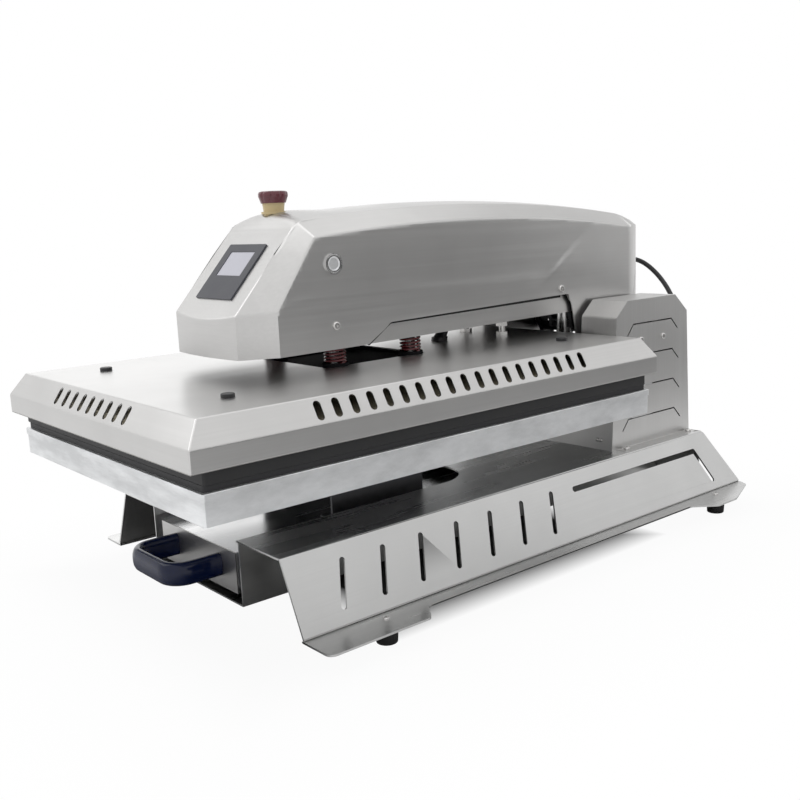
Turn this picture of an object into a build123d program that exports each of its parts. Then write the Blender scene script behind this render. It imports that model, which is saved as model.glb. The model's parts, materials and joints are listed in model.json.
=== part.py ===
from build123d import *
from math import atan2, cos, degrees, hypot, pi, radians, sin, sqrt, tan
import os

# Slide-out heat press. Millimetres. +X is the machine's right side seen from its front,
# +Y runs from the front to the rear, +Z is up and the feet stand on Z = 0.
# While modelling, Y = 0 is the front rim of the heater cover. On writing, everything is
# moved so that the origin is at the middle of the footprint.

# Heater platen
plate_width = 484.0
plate_length = 702.0
plate_thickness = 18.0
plate_corner = 3.0
cover_overhang_side = 8.0
cover_overhang_end = 17.0
heater_cover_skirt = 23.8
heater_bevel_height = 27.0
heater_bevel_side = 15.4
heater_bevel_end = 18.6
heater_sheet = 1.5
plate_edge_shown = 15.8
side_slot_count = 19
side_slot_pitch = 23.5
end_slot_count = 9
end_slot_pitch = 24.0
vent_slot_width = 9.4
vent_slot_length = 22.4
plug_radius = 7.8
plug_height = 4.5
plug_inset_x = 92.0
plug_inset_y = 98.0
insulation_thickness = 15.0
stiffener_inset_x = 92.0
stiffener_inset_y = 41.0
stiffener_thickness = 6.0
element_diameter = 8.0
element_runs = 6

# Table and drawer
table_longer = 8.0
table_body_depth = 26.0
table_wall = 4.0
table_lip = 1.5
table_top_thickness = 8.5
table_corner = 2.0
pad_corner = 4.0
pad_thickness = 6.7
pad_inset = 3.0
closed_gap = 0.3
table_clearance = 71.5
drawer_width = 188.0
drawer_length = 560.0
drawer_height = 51.0
drawer_sheet = 2.0
drawer_setback = 3.0
drawer_floor_gap = 9.0
bracket_inset = 9.0
bracket_setback = 153.0
bracket_length = 153.0
bracket_sheet = 4.0
bracket_flange = 24.0
handle_width = 125.0
handle_reach = 70.0
handle_height = 29.0
handle_thickness = 14.0
handle_corner = 32.0
handle_rim = 5.0
handle_lift = 2.5
slide_space = 14.2
slide_length = 590.0
slide_height = 45.0
slide_sheet = 1.5

# Base
foot_height = 25.0
foot_radius = 12.5
foot_top_radius = 14.0
foot_from_flange = 16.5
foot_front_inset = 102.0
foot_rear_inset = 91.0
base_sheet = 2.5
base_apron_inset = 3.0
base_apron_gap = 4.0
base_front_y = 124.0
base_rise = 87.0
deck_beside_column = 22.5
deck_behind_column = 1.5
wing_spread = 39.0
wing_rear_sweep = 47.0
flange_narrow = 23.0
flange_wide = 50.0
flange_front_pad = 141.0
flange_front_step = 20.0
flange_rear_pad = 166.0
flange_rear_step = 32.0
flange_rear_cut = 87.0
wing_slot_count = 7
wing_slot_start = 77.0
wing_slot_pitch = 59.2
wing_slot_width = 7.5
wing_slot_top = 22.3
wing_slot_bottom = 71.7
wing_slot_lean = 15.5
long_slot_length = 288.0
long_slot_inset = 41.0
long_slot_hook = 21.0
long_slot_drop = 25.6
long_slot_foot_drop = 76.4
long_slot_width = 8.0
deck_opening_inset = 6.2
deck_opening_length = 391.0
deck_opening_corner = 60.0
channel_sheet = 2.0
channel_above_feet = 6.0

# Column
column_beside_arm = 73.1
column_sheet = 2.0
column_under_heater = 3.0
column_lean_front = 12.0
column_lean_rear = 9.0
column_depth = 198.5
column_shoulder = 26.0
column_shoulder_rear = 31.5
column_above_pivot = 46.5
column_front_bevel = 23.0
column_rear_bevel = 27.5
arm_slot_gap = 7.6
arm_slot_under_pivot = 40.0
tab_width = 14.0
louvre_count = 4
louvre_above_pivot = 10.0
louvre_pitch = 47.9
louvre_leg = 16.0
louvre_cut = 2.0
louvre_front_inset = 52.0
louvre_rear_inset = 50.5
louvre_spread = 12.0
relay_inset = 52.0
relay_lift = 24.0
inlet_x = 0.0
inlet_lift = 58.0
frame_plate = 8.0
frame_gap = 8.3
frame_front_inset = 42.0
frame_rear_inset = 16.5
frame_foot_width = 40.0
frame_above_pivot = 32.0
frame_top_half = 30.0

# Arm
pivot_inset = 147.0
pivot_below_heater_top = 1.6
shaft_radius = 12.5
running_clearance = 0.05
bush_wall = 2.5
bush_length = 24.0
hub_wall = 7.0
arm_half_width = 98.9
arm_side_bevel = 25.5
arm_bevel_drop = 20.0
arm_crown = 6.5
crown_edge_depth = 0.5
crown_side_gap = 1.0
crown_rear_gap = 20.0
arm_sheet = 2.0
nose_front_y = 162.8
nose_bulge = 5.5
nose_above_heater = 22.9
nose_length = 175.2
panel_rise = 53.2
panel_run = 94.9
panel_height = 106.4
crease_back = 42.5
crease_rise = 55.5
crest_inset = 397.2
crest_rise = 13.2
crest_rear_inset = 54.0
crest_rear_drop = 10.1
arm_behind_pivot = 49.0
arm_shoulder_height = 110.5
arm_rear_corner = 60.0
arm_belly_inset = 213.2
arm_belly_rise = 25.0
arm_belly_corner = 14.0
arm_belly_rear_gap = 30.0
lobe_front_gap = 0.0
lobe_below_pivot = 28.0
lobe_corner = 12.0
lobe_rise = 45.0
arm_screw_rise = 30.8
arm_rear_screw_rise = 43.5
beam_gap = 6.9
beam_sheet = 3.0
beam_above_heater = 29.4
beam_height = 79.0
beam_inset = 99.2
beam_before_pivot = 138.0
lever_plate = 8.0
lever_gap = 4.0
lever_before_pivot = 240.0

# Springs and guides between the arm and the platen
spring_x = 70.0
spring_reach_y = 63.0
spring_space = 60.4
spring_plate_thickness = 8.0
spring_plate_margin = 20.0
spring_wire = 3.2
spring_outer_diameter = 29.0
spring_turns = 12
spring_end_gap = 0.3
post_radius = 7.0
post_above_plate = 20.0
guide_wall = 2.5
seat_rim = 1.5
seat_thickness = 2.0
rear_stud_x = 40.0
rear_stud_from_middle = 272.0
rear_stud_radius = 5.0
platen_gland_radius = 12.0
platen_gland_from_middle = 179.0
platen_float = 6.0

# Controls
bezel_width = 86.0
bezel_height = 84.0
bezel_thickness = 2.0
bezel_low = 22.0
glass_width = 57.0
glass_height = 37.0
glass_low = 57.0
stop_inset = 110.2
stop_base_rise = 3.5
stop_collar_radius = 13.0
stop_collar_height = 13.4
stop_head_radius = 19.0
stop_head_height = 15.0
stop_hollow_radius = 15.1
stop_hollow_spare = 2.5
stop_travel = 4.0
stop_stem_radius = 7.0
button_inset = 126.2
button_rise = 106.5
button_bezel_radius = 12.5
button_radius = 9.0
button_travel = 2.0

# Actuator in the column
actuator_inset = 75.0
actuator_low_rise = 24.0
actuator_above_pivot = 6.0
actuator_x = 18.0
actuator_rod_over_pin = 22.0
actuator_body_radius = 19.0
actuator_rod_radius = 13.5
actuator_pin_radius = 5.5
open_pin_clearance = 1.0

# Cable from the arm to the column. Its points were chosen by hand: the distance out from
# the arm's side (negative is inwards), the distance behind the arm, and the height above
# the pivot.
cable_diameter = 8.0
cable_gland_radius = 9.5
gland_cap = 4.0
cable_points = [
    (-60.9, 12.0, 98.0),
    (-60.9, 32.0, 98.0),
    (-51.9, 53.0, 90.0),
    (-33.9, 64.0, 71.0),
    (-12.9, 64.0, 48.0),
    (7.1, 55.0, 25.0),
    (20.1, 34.0, 9.0),
    (20.1, 12.0, 9.0),
]

# Heights that follow from the values above
deck_height = foot_height + base_rise
flange_bottom = foot_height
flange_top = foot_height + base_sheet
channel_bottom = foot_height + channel_above_feet
table_bottom = deck_height + table_clearance
table_top_bottom = table_bottom + table_body_depth
pad_bottom = table_top_bottom + table_top_thickness
plate_bottom = pad_bottom + pad_thickness + closed_gap
plate_top = plate_bottom + plate_thickness
skirt_bottom = plate_bottom + plate_edge_shown
heater_rim = skirt_bottom + heater_cover_skirt
heater_top = heater_rim + heater_bevel_height
insulation_bottom = plate_top + element_diameter + 1.0
stiffener_bottom = insulation_bottom + insulation_thickness + 0.5
drawer_bottom = channel_bottom + channel_sheet + drawer_floor_gap
drawer_top = drawer_bottom + drawer_height
slide_mid_z = drawer_bottom + drawer_height / 2
handle_mid_z = slide_mid_z + handle_lift
pivot_z = heater_top - pivot_below_heater_top
spring_plate_z = heater_top + spring_space
column_bottom = deck_height
column_top = pivot_z + column_above_pivot
column_front_top = column_top - column_front_bevel
column_rear_top = column_top - column_rear_bevel
arm_slot_bottom = pivot_z - arm_slot_under_pivot
frame_top = pivot_z + frame_above_pivot
louvre_first_z = pivot_z + louvre_above_pivot
relay_z = column_bottom + relay_lift
inlet_z = column_bottom + inlet_lift
nose_bottom = heater_top + nose_above_heater
panel_low_z = nose_bottom + panel_rise
panel_top_z = panel_low_z + panel_height
crease_low_z = nose_bottom + crease_rise
crest_z = panel_top_z + crest_rise
crest_rear_z = panel_top_z - crest_rear_drop
arm_rear_shoulder_z = nose_bottom + arm_shoulder_height
arm_belly_z = nose_bottom + arm_belly_rise
lobe_bottom = pivot_z - lobe_below_pivot
beam_bottom = heater_top + beam_above_heater
beam_top = beam_bottom + beam_height
stop_base_z = panel_top_z + arm_crown + stop_base_rise
button_z = nose_bottom + button_rise
actuator_low_z = column_bottom + actuator_low_rise
actuator_high_z = pivot_z + actuator_above_pivot

# Lengths and places along the machine that follow
heater_cover_length = plate_length + 2 * cover_overhang_end
heater_mid_y = heater_cover_length / 2
table_length = plate_length + table_longer
table_mid_y = heater_mid_y + 2.0
stiffener_length = plate_length - 2 * stiffener_inset_y
deck_front_y = base_front_y
column_front_y = heater_cover_length - column_under_heater
column_front_top_y = column_front_y + column_lean_front
column_top_front_y = column_front_top_y + column_shoulder
column_rear_y = column_front_y + column_depth
column_rear_top_y = column_rear_y - column_lean_rear
column_top_rear_y = column_rear_top_y - column_shoulder_rear
deck_rear_y = column_rear_y + deck_behind_column
model_mid_y = (deck_rear_y + wing_rear_sweep) / 2
foot_front_y = deck_front_y + foot_front_inset
foot_rear_y = deck_rear_y + wing_rear_sweep - foot_rear_inset
flange_rear_pad_y = deck_rear_y + wing_rear_sweep - flange_rear_pad
flange_rear_corner_y = deck_rear_y + wing_rear_sweep - flange_rear_cut
wing_slot_first_y = deck_front_y + wing_slot_start
long_slot_end_y = deck_rear_y - long_slot_inset
long_slot_start_y = long_slot_end_y - long_slot_length
long_slot_foot_y = long_slot_end_y + long_slot_hook
deck_opening_end_y = deck_front_y + deck_opening_length
drawer_front_y = deck_front_y + drawer_setback
bracket_front_y = deck_front_y + bracket_setback
slide_start_y = drawer_front_y + 10.0
louvre_front_y = column_front_y + louvre_front_inset
louvre_rear_y = column_rear_y - louvre_rear_inset
relay_y = column_front_y + relay_inset
frame_front_y = column_front_y + frame_front_inset
frame_rear_y = column_rear_y - frame_rear_inset
pivot_y = column_front_y + pivot_inset
actuator_y = column_front_y + actuator_inset
arm_rear_y = pivot_y + arm_behind_pivot
nose_rear_y = nose_front_y + nose_length
panel_top_y = nose_front_y + panel_run
crease_low_y = nose_front_y + crease_back
crease_top_y = panel_top_y + 6.5
crest_y = nose_front_y + crest_inset
crest_rear_y = arm_rear_y - crest_rear_inset
arm_belly_front_y = nose_front_y + arm_belly_inset
lobe_front_y = column_front_top_y + lobe_front_gap
arm_belly_rear_y = lobe_front_y - arm_belly_rear_gap
beam_front_y = nose_front_y + beam_inset
beam_rear_y = pivot_y - beam_before_pivot
lever_front_y = pivot_y - lever_before_pivot
stop_y = nose_front_y + stop_inset
stop_hollow_depth = stop_travel + stop_hollow_spare
button_y = nose_front_y + button_inset
arm_rear_screw_y = lobe_front_y - 38.3
spring_rows_y = [heater_mid_y - spring_reach_y, heater_mid_y + spring_reach_y]
rear_stud_y = heater_mid_y + rear_stud_from_middle
platen_gland_y = heater_mid_y + platen_gland_from_middle
cable_route = [(arm_half_width + x, arm_rear_y + y, pivot_z + z) for x, y, z in cable_points]

# Widths that follow
heater_cover_width = plate_width + 2 * cover_overhang_side
table_width = plate_width
stiffener_width = plate_width - 2 * stiffener_inset_x
channel_half_width = drawer_width / 2 + slide_space + channel_sheet
bracket_spread = drawer_width / 2 - bracket_inset
deck_opening_half_width = channel_half_width - deck_opening_inset
column_half_width = arm_half_width + column_beside_arm
deck_half_width = column_half_width + deck_beside_column
wing_foot_half_width = deck_half_width + wing_spread
foot_x = wing_foot_half_width + foot_from_flange
slide_outer_x = channel_half_width - channel_sheet
slide_inner_x = drawer_width / 2
column_inner_x = column_half_width - column_sheet
arm_slot_half_width = arm_half_width + arm_slot_gap
arm_top_half_width = arm_half_width - arm_side_bevel
frame_inner_x = arm_half_width + frame_gap
beam_half_width = arm_half_width - beam_gap
lever_outer_x = beam_half_width - lever_gap
hub_radius = shaft_radius + running_clearance + bush_wall + hub_wall
seat_radius = spring_outer_diameter / 2 + seat_rim
spring_places = [(side * spring_x, y) for side in (-1, 1) for y in spring_rows_y]


def block(x0, x1, y0, y1, z0, z1):
    """A plain block between two corners."""
    centre = Pos((x0 + x1) / 2, (y0 + y1) / 2, (z0 + z1) / 2)
    return centre * Box(x1 - x0, y1 - y0, z1 - z0)


def bar(radius, start, direction, length):
    """A round bar from a start point along a direction."""
    return Solid.make_cylinder(radius, length, Plane(start, z_dir=direction))


def ring(outer, inner, start, direction, length):
    """A round ring or tube."""
    hole = bar(inner, Vector(*start) - Vector(*direction), direction, length + 2)
    return bar(outer, start, direction, length) - hole


def both_sides(solid):
    """A piece and its mirror image on the other side of the machine."""
    return [solid, solid.mirror(Plane.YZ)]


def side_profile(points, x0, x1):
    """A plate with an outline in Y and Z, between two X values."""
    outline = make_face(Polyline(*[(x0, y, z) for y, z in points], close=True))
    return extrude(outline, amount=x1 - x0, dir=(1, 0, 0))


def screw(place, direction, head_radius, head_height, shank_radius, shank_length):
    """A pan-head screw whose head sits on a surface and whose shank goes into it."""
    outward = Vector(*direction)
    head = bar(head_radius, place, outward, head_height)
    head = fillet(head.edges().sort_by(Axis(place, outward))[-1:], head_height * 0.6)
    socket_depth = head_height * 0.5
    socket = bar(head_radius * 0.3, Vector(*place) + outward * (head_height - socket_depth),
                 outward, head_height)
    shank = bar(shank_radius, Vector(*place) - outward * shank_length, outward, shank_length)
    return head + shank - socket


def hex_nut(centre, across_flats, height, bore):
    """A nut standing on a level surface."""
    x, y, z = centre
    body = Pos(x, y, z) * extrude(RegularPolygon(across_flats / 2, 6, major_radius=False), height)
    return body - bar(bore, (x, y, z - 1), (0, 0, 1), height + 2)


# Base

def wing_plane():
    """The outer face of the right wing: local x runs to the rear, local y down the slope."""
    down = Vector(wing_foot_half_width - deck_half_width, 0, flange_top - deck_height)
    outward = Vector(0, 1, 0).cross(down.normalized())
    return Plane((deck_half_width, 0, deck_height), x_dir=(0, 1, 0), z_dir=outward)


def slot_between(start, end, width):
    """A round-ended slot between two points of a sketch."""
    run = Vector(*end) - Vector(*start)
    centre = (Vector(*start) + Vector(*end)) / 2
    angle = degrees(atan2(run.Y, run.X))
    return Pos(centre.X, centre.Y) * Rot(0, 0, angle) * SlotCenterToCenter(run.length, width)


def right_wing():
    """One sloped side of the base, with its rear sweep and its slots."""
    plane = wing_plane()
    slope = hypot(wing_foot_half_width - deck_half_width, deck_height - flange_top)
    face = make_face(Polyline(
        (deck_front_y, 0), (deck_rear_y, 0),
        (deck_rear_y + wing_rear_sweep, slope), (deck_front_y, slope), close=True))
    for index in range(wing_slot_count):
        low_y = wing_slot_first_y + index * wing_slot_pitch
        face -= slot_between((low_y, wing_slot_top), (low_y - wing_slot_lean, wing_slot_bottom),
                             wing_slot_width)
    face -= slot_between((long_slot_start_y, long_slot_drop), (long_slot_end_y, long_slot_drop),
                         long_slot_width)
    face -= slot_between((long_slot_end_y, long_slot_drop),
                         (long_slot_foot_y, long_slot_foot_drop), long_slot_width)
    return extrude(plane * face, amount=-base_sheet)


def right_flange():
    """The level strip along the foot of a wing, widened into a pad over each foot."""
    inner = wing_foot_half_width - base_sheet
    narrow = wing_foot_half_width + flange_narrow
    wide = wing_foot_half_width + flange_wide
    front_end = deck_front_y + flange_front_pad
    rear_end = deck_rear_y + wing_rear_sweep
    outline = Polyline(
        (inner, deck_front_y), (wide, deck_front_y), (wide, front_end),
        (narrow, front_end + flange_front_step), (narrow, flange_rear_pad_y),
        (wide, flange_rear_pad_y + flange_rear_step), (wide, flange_rear_corner_y),
        (narrow - 4, rear_end - 8), (inner + 8, rear_end), (inner, rear_end), close=True)
    flange = extrude(Pos(0, 0, flange_bottom) * make_face(outline), amount=base_sheet)
    soft = [edge for edge in flange.edges().filter_by(Axis.Z)
            if edge.center().X > narrow - 1 and edge.center().Y < flange_rear_corner_y + 1]
    flange = fillet(soft, 9.0)
    for y in (foot_front_y, foot_rear_y):
        flange -= bar(2.4, (foot_x, y, flange_bottom - 1), (0, 0, 1), base_sheet + 2)
    return flange


def base_deck():
    """Deck, wings, foot flanges and rear apron, bent from one sheet, with the table's opening."""
    deck = block(-deck_half_width, deck_half_width, deck_front_y, deck_rear_y,
                 deck_height - base_sheet, deck_height)
    opening_length = deck_opening_end_y - deck_front_y + 80
    opening = Pos(0, deck_opening_end_y - opening_length / 2, deck_height - base_sheet - 1) * extrude(
        RectangleRounded(2 * deck_opening_half_width, opening_length, deck_opening_corner),
        base_sheet + 2)
    deck -= opening
    bends = [both_sides(right_wing()), both_sides(right_flange())]
    for left_and_right in bends:
        for piece in left_and_right:
            deck += piece
    apron = block(-deck_half_width + base_apron_inset, deck_half_width - base_apron_inset,
                  deck_rear_y - base_sheet, deck_rear_y, flange_top + base_apron_gap, deck_height)
    return deck + apron


def drawer_channel():
    """U channel under the deck that the drawer runs in, with flanges welded to the deck."""
    wall_top = deck_height - base_sheet
    outer = block(-channel_half_width, channel_half_width, deck_front_y, deck_rear_y - 3,
                  channel_bottom, wall_top)
    inner = channel_half_width - channel_sheet
    outer -= block(-inner, inner, deck_front_y - 1, deck_rear_y, channel_bottom + channel_sheet,
                   wall_top + 1)
    flange = block(channel_half_width, channel_half_width + tab_width, deck_front_y + 6,
                   deck_rear_y - 6, wall_top - channel_sheet, wall_top)
    for piece in both_sides(flange):
        outer += piece
    return outer


def foot_places():
    """Where the four feet stand."""
    return [(side * foot_x, y) for side in (-1, 1) for y in (foot_front_y, foot_rear_y)]


def rubber_feet():
    """Four tapered rubber feet, each with a hole for its screw."""
    feet = []
    for x, y in foot_places():
        foot = Solid.make_cone(foot_radius, foot_top_radius, foot_height, Plane((x, y, 0)))
        foot = fillet(foot.edges().sort_by(Axis.Z)[:1], 1.5)
        foot -= bar(2.4, (x, y, 6), (0, 0, 1), foot_height)
        feet.append(foot)
    return feet


def foot_screws():
    """Screws through the flanges into the feet."""
    return [screw((x, y, flange_top), (0, 0, 1), 4.0, 2.5, 2.2, 20.0) for x, y in foot_places()]


# Column

def column_outline(inset=0.0):
    """The column seen from its side, from the deck up, moved inwards by a sheet thickness."""
    return [
        (column_front_y + inset, column_bottom),
        (column_front_top_y + inset, column_front_top),
        (column_top_front_y + inset * 0.6, column_top - inset),
        (column_top_rear_y - inset * 0.6, column_top - inset),
        (column_rear_top_y - inset, column_rear_top - inset * 0.3),
        (column_rear_y - inset, column_bottom),
    ]


def louvre_points(index):
    """The four points of one louvre cut, wider lower down as the column is."""
    z = louvre_first_z - index * louvre_pitch
    spread = louvre_spread * index / (louvre_count - 1)
    front = louvre_front_y - spread
    rear = louvre_rear_y + spread * 0.75
    return [(front - louvre_leg * 0.85, z - louvre_leg), (front, z),
            (rear, z), (rear + louvre_leg, z - louvre_leg)]


def column_side():
    """The right side plate with its louvre cuts and its foot flange."""
    plate = side_profile(column_outline(), column_inner_x, column_half_width)
    for index in range(louvre_count):
        points = louvre_points(index)
        for start, end in zip(points[:-1], points[1:]):
            cut = Plane.YZ * slot_between(start, end, louvre_cut)
            plate -= Pos(column_inner_x - 1, 0, 0) * extrude(cut, column_sheet + 2)
    flange = block(column_inner_x, column_half_width + tab_width, column_front_y + 12,
                   column_rear_y - 2, column_bottom, column_bottom + column_sheet)
    plate += flange
    for y, z in column_side_screw_places():
        plate -= bar(2.7, (column_inner_x - 1, y, z), (1, 0, 0), column_sheet + 2)
    for y in column_foot_screw_places():
        plate -= bar(2.7, (column_half_width + tab_width * 0.5, y, column_bottom - 1), (0, 0, 1),
                     column_sheet + 2)
    return plate


def column_side_screw_places():
    """Screws in the side plate, as Y and Z."""
    top = louvre_first_z - 25.0
    return [(louvre_rear_y - 22.0, top), (louvre_front_y + 18.0, top)]


def column_foot_screw_places():
    """Screws through the foot flange of a side plate, as Y."""
    return [column_front_y + 26.0, column_rear_y - 12.0]


def bent_strip(points, thickness, x0, x1):
    """A sheet bent along an open outline in Y and Z, with its thickness to the inside."""
    inner = column_outline(thickness)
    full = column_outline()
    chosen = [full.index(point) for point in points]
    outline = points + [inner[i] for i in reversed(chosen)]
    return side_profile(outline, x0, x1)


def column_front_cover():
    """Front sheet of the column: full width below, and a shoulder each side of the arm."""
    full = column_outline()
    cover_x = column_inner_x - 0.2
    cover = bent_strip(full[:4], column_sheet, -cover_x, cover_x)
    cover -= block(-arm_slot_half_width, arm_slot_half_width, column_front_y - 20,
                   column_rear_y, arm_slot_bottom, column_top + 20)
    for x in (-1, 1):
        for step in (0, 7):
            place = (x * (column_inner_x - 26 + step), column_front_y - 5, column_bottom + 16)
            cover -= bar(2.2, place, (0, 1, 0), 20)
    return cover


def column_rear_cover():
    """Rear sheet of the column with vent slots, inlet cut-out and slot for the arm."""
    full = column_outline()
    cover_x = column_inner_x - 0.2
    cover = bent_strip(full[3:], column_sheet, -cover_x, cover_x)
    cover -= block(-arm_slot_half_width, arm_slot_half_width, column_top_front_y,
                   column_rear_y + 20, arm_slot_bottom, column_top + 20)
    for row in range(5):
        for column in range(3):
            place = (-132.0 + column * 32.0, column_rear_y - 20, 230.0 - row * 16.0)
            slot = Plane.XZ * SlotOverall(24.0, 5.0)
            cover -= Pos(*place) * extrude(slot, 40.0, both=True)
    cover -= block(inlet_x - 14.2, inlet_x + 14.2, column_rear_y - 30, column_rear_y + 20,
                   inlet_z - 29.2, inlet_z + 29.2)
    x, y, z = cable_route[-1]
    cover -= bar(cable_gland_radius - 3, (x, y - 40, z), (0, 1, 0), 60)
    return cover


def column_rear_at(z):
    """The Y of the rear face of the column at a height."""
    share = (z - column_bottom) / (column_rear_top - column_bottom)
    return column_rear_y + (column_rear_top_y - column_rear_y) * share


def inlet_module():
    """Mains inlet with a switch cradle above it, clipped into the rear cover."""
    y = column_rear_at(inlet_z - 30) + 0.3
    flange = block(inlet_x - 18, inlet_x + 18, y, y + 2.5, inlet_z - 33, inlet_z + 33)
    flange = fillet(flange.edges().filter_by(Axis.Y), 4.0)
    body = block(inlet_x - 14, inlet_x + 14, y - 34, y, inlet_z - 29, inlet_z + 29)
    module = flange + body
    socket = block(inlet_x - 12, inlet_x + 12, y - 18, y + 5, inlet_z - 26, inlet_z - 9)
    module -= socket
    for x, z in ((-7, -17.5), (0, -15), (7, -17.5)):
        module += block(inlet_x + x - 1, inlet_x + x + 1, y - 19, y - 3,
                        inlet_z + z - 2.5, inlet_z + z + 2.5)
    well = block(inlet_x - 11, inlet_x + 11, y - 16, y + 5, inlet_z - 2, inlet_z + 25)
    return module - well


def mains_switch():
    """Rocker of the mains switch, a shallow V that tilts in its cradle."""
    y = column_rear_at(inlet_z - 30) + 2.8
    mid = switch_pivot()
    points = [(y - 9, mid[2] - 8), (y - 1.0, mid[2] - 10), (y + 0.2, mid[2]),
              (y + 3.0, mid[2] + 10), (y - 6.5, mid[2] + 8.5)]
    return side_profile(points, inlet_x - 10, inlet_x + 10)


def switch_pivot():
    """The axis that the rocker tilts about."""
    return (inlet_x, column_rear_at(inlet_z - 30) - 5.0, inlet_z + 11.5)


def frame_outline():
    """A pivot frame seen from its side."""
    return [(frame_front_y, column_bottom), (frame_rear_y, column_bottom),
            (pivot_y + frame_top_half, pivot_z), (pivot_y + frame_top_half * 0.6, frame_top),
            (pivot_y - frame_top_half * 0.6, frame_top), (pivot_y - frame_top_half, pivot_z)]


def pivot_frames():
    """The two upright plates that carry the pivot shaft, with their feet on the deck."""
    plate = side_profile(frame_outline(), frame_inner_x, frame_inner_x + frame_plate)
    plate += block(frame_inner_x, frame_inner_x + frame_foot_width, frame_front_y, frame_rear_y,
                   column_bottom, column_bottom + frame_plate)
    rib_points = [(frame_inner_x + frame_plate, column_bottom + frame_plate),
                  (frame_inner_x + frame_foot_width, column_bottom + frame_plate),
                  (frame_inner_x + frame_plate, column_bottom + 90)]
    rib = make_face(Polyline(*[(x, pivot_y - 30, z) for x, z in rib_points], close=True))
    plate += extrude(rib, amount=frame_plate, dir=(0, 1, 0))
    plate -= bar(shaft_radius + running_clearance, (frame_inner_x - 1, pivot_y, pivot_z), (1, 0, 0),
                 frame_plate + 2)
    return both_sides(plate)


def frame_bolts():
    """Bolts that hold the pivot frames down on the deck."""
    bolts = []
    for side in (-1, 1):
        for y in (frame_front_y + 14, frame_rear_y - 14):
            x = side * (frame_inner_x + frame_foot_width - 12)
            bolts.append(hex_nut((x, y, column_bottom + frame_plate), 13.0, 6.0, 0.1)
                         + bar(1.0, (x, y, column_bottom + frame_plate), (0, 0, 1), 6.0))
    return bolts


def pivot_shaft():
    """The shaft that the arm turns on."""
    end = frame_inner_x + frame_plate + 5
    shaft = bar(shaft_radius, (-end, pivot_y, pivot_z), (1, 0, 0), 2 * end)
    return chamfer(shaft.edges().filter_by(GeomType.CIRCLE), 1.0)


def shaft_collars():
    """A collar at each end of the shaft and a spacer each side of the arm."""
    outside = frame_inner_x + frame_plate + 0.2
    collar = ring(shaft_radius + 6, shaft_radius + running_clearance, (outside, pivot_y, pivot_z),
                  (1, 0, 0), 4.5)
    gap_start = lever_outer_x + 0.3
    spacer = ring(shaft_radius + 4, shaft_radius + running_clearance, (gap_start, pivot_y, pivot_z),
                  (1, 0, 0), frame_inner_x - gap_start - 0.2)
    return both_sides(collar) + both_sides(spacer)


def actuator_bracket():
    """Two ears on a foot plate, with the lower pin of the actuator held between them."""
    plate = block(-55, 55, actuator_y - 24, actuator_y + 24, column_bottom, column_bottom + 6)
    ear = side_profile([(actuator_y - 16, column_bottom + 6), (actuator_y + 16, column_bottom + 6),
                        (actuator_y + 10, actuator_low_z + 10), (actuator_y - 10, actuator_low_z + 10)],
                       17, 23)
    ear -= bar(actuator_pin_radius + running_clearance, (16, actuator_y, actuator_low_z), (1, 0, 0), 8)
    for piece in both_sides(ear):
        plate += piece
    return Pos(actuator_x, 0, 0) * plate


def pin_with_heads(z, length):
    """A plain pin along X with a rolled head at each end."""
    pin = bar(actuator_pin_radius, (-length / 2, actuator_y, z), (1, 0, 0), length)
    for side in (-1, 1):
        pin += bar(actuator_pin_radius + 2.5, (side * length / 2, actuator_y, z), (side, 0, 0), 2.5)
    return Pos(actuator_x, 0, 0) * pin


def power_relay():
    """Solid-state relay on a finned heat sink, fixed to the inside of the right side plate."""
    wall = column_inner_x - 0.1
    y0, z0 = relay_y, relay_z
    sink = block(wall - 22, wall - 14, y0, y0 + 50, z0, z0 + 70)
    for fin in range(8):
        low = z0 + 1 + fin * 9.4
        sink += block(wall - 14, wall, y0, y0 + 50, low, low + 2.2)
    relay = block(wall - 44, wall - 22.1, y0 + 4, y0 + 46, z0 + 5, z0 + 65)
    return [sink, fillet(relay.edges().filter_by(Axis.X), 2.0)]


def column_screws():
    """Screws of the column: side plates, front cover and foot flanges."""
    screws = []
    for side in (-1, 1):
        for y, z in column_side_screw_places():
            screws.append(screw((side * column_half_width, y, z), (side, 0, 0), 4.8, 3.0, 2.5, 8.0))
        for y in column_foot_screw_places():
            place = (side * (column_half_width + tab_width * 0.5), y, column_bottom + column_sheet)
            screws.append(screw(place, (0, 0, 1), 4.8, 3.0, 2.5, column_sheet))
        for step in (0, 7):
            place = (side * (column_inner_x - 26 + step), column_front_y + 0.6, column_bottom + 16)
            screws.append(screw(place, (0, -1, 0), 3.1, 2.0, 2.0, 6.0))
    return screws


def gland(place, face):
    """A cable gland from a wall's face out to the cable's end, with its tail inside the wall."""
    x, y, z = place
    nut = bar(cable_gland_radius, (x, face, z), (0, 1, 0), y - face - gland_cap)
    cap = bar(cable_gland_radius - 2, (x, y - gland_cap, z), (0, 1, 0), gland_cap)
    tail = bar(cable_gland_radius - 3.2, (x, face - 12, z), (0, 1, 0), 12)
    return nut + cap + tail


def column_gland():
    """Gland in the rear cover that the arm's cable goes into."""
    x, y, z = cable_route[-1]
    return gland(cable_route[-1], column_rear_at(z - cable_gland_radius) + 0.1)


# Arm

def crest_arc(top_y, lift):
    """The long gently arched line of the arm's top, as three points and its rear turn."""
    return [(top_y, panel_top_z + lift), (crest_y, crest_z + lift), (crest_rear_y, crest_rear_z + lift)]


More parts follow.
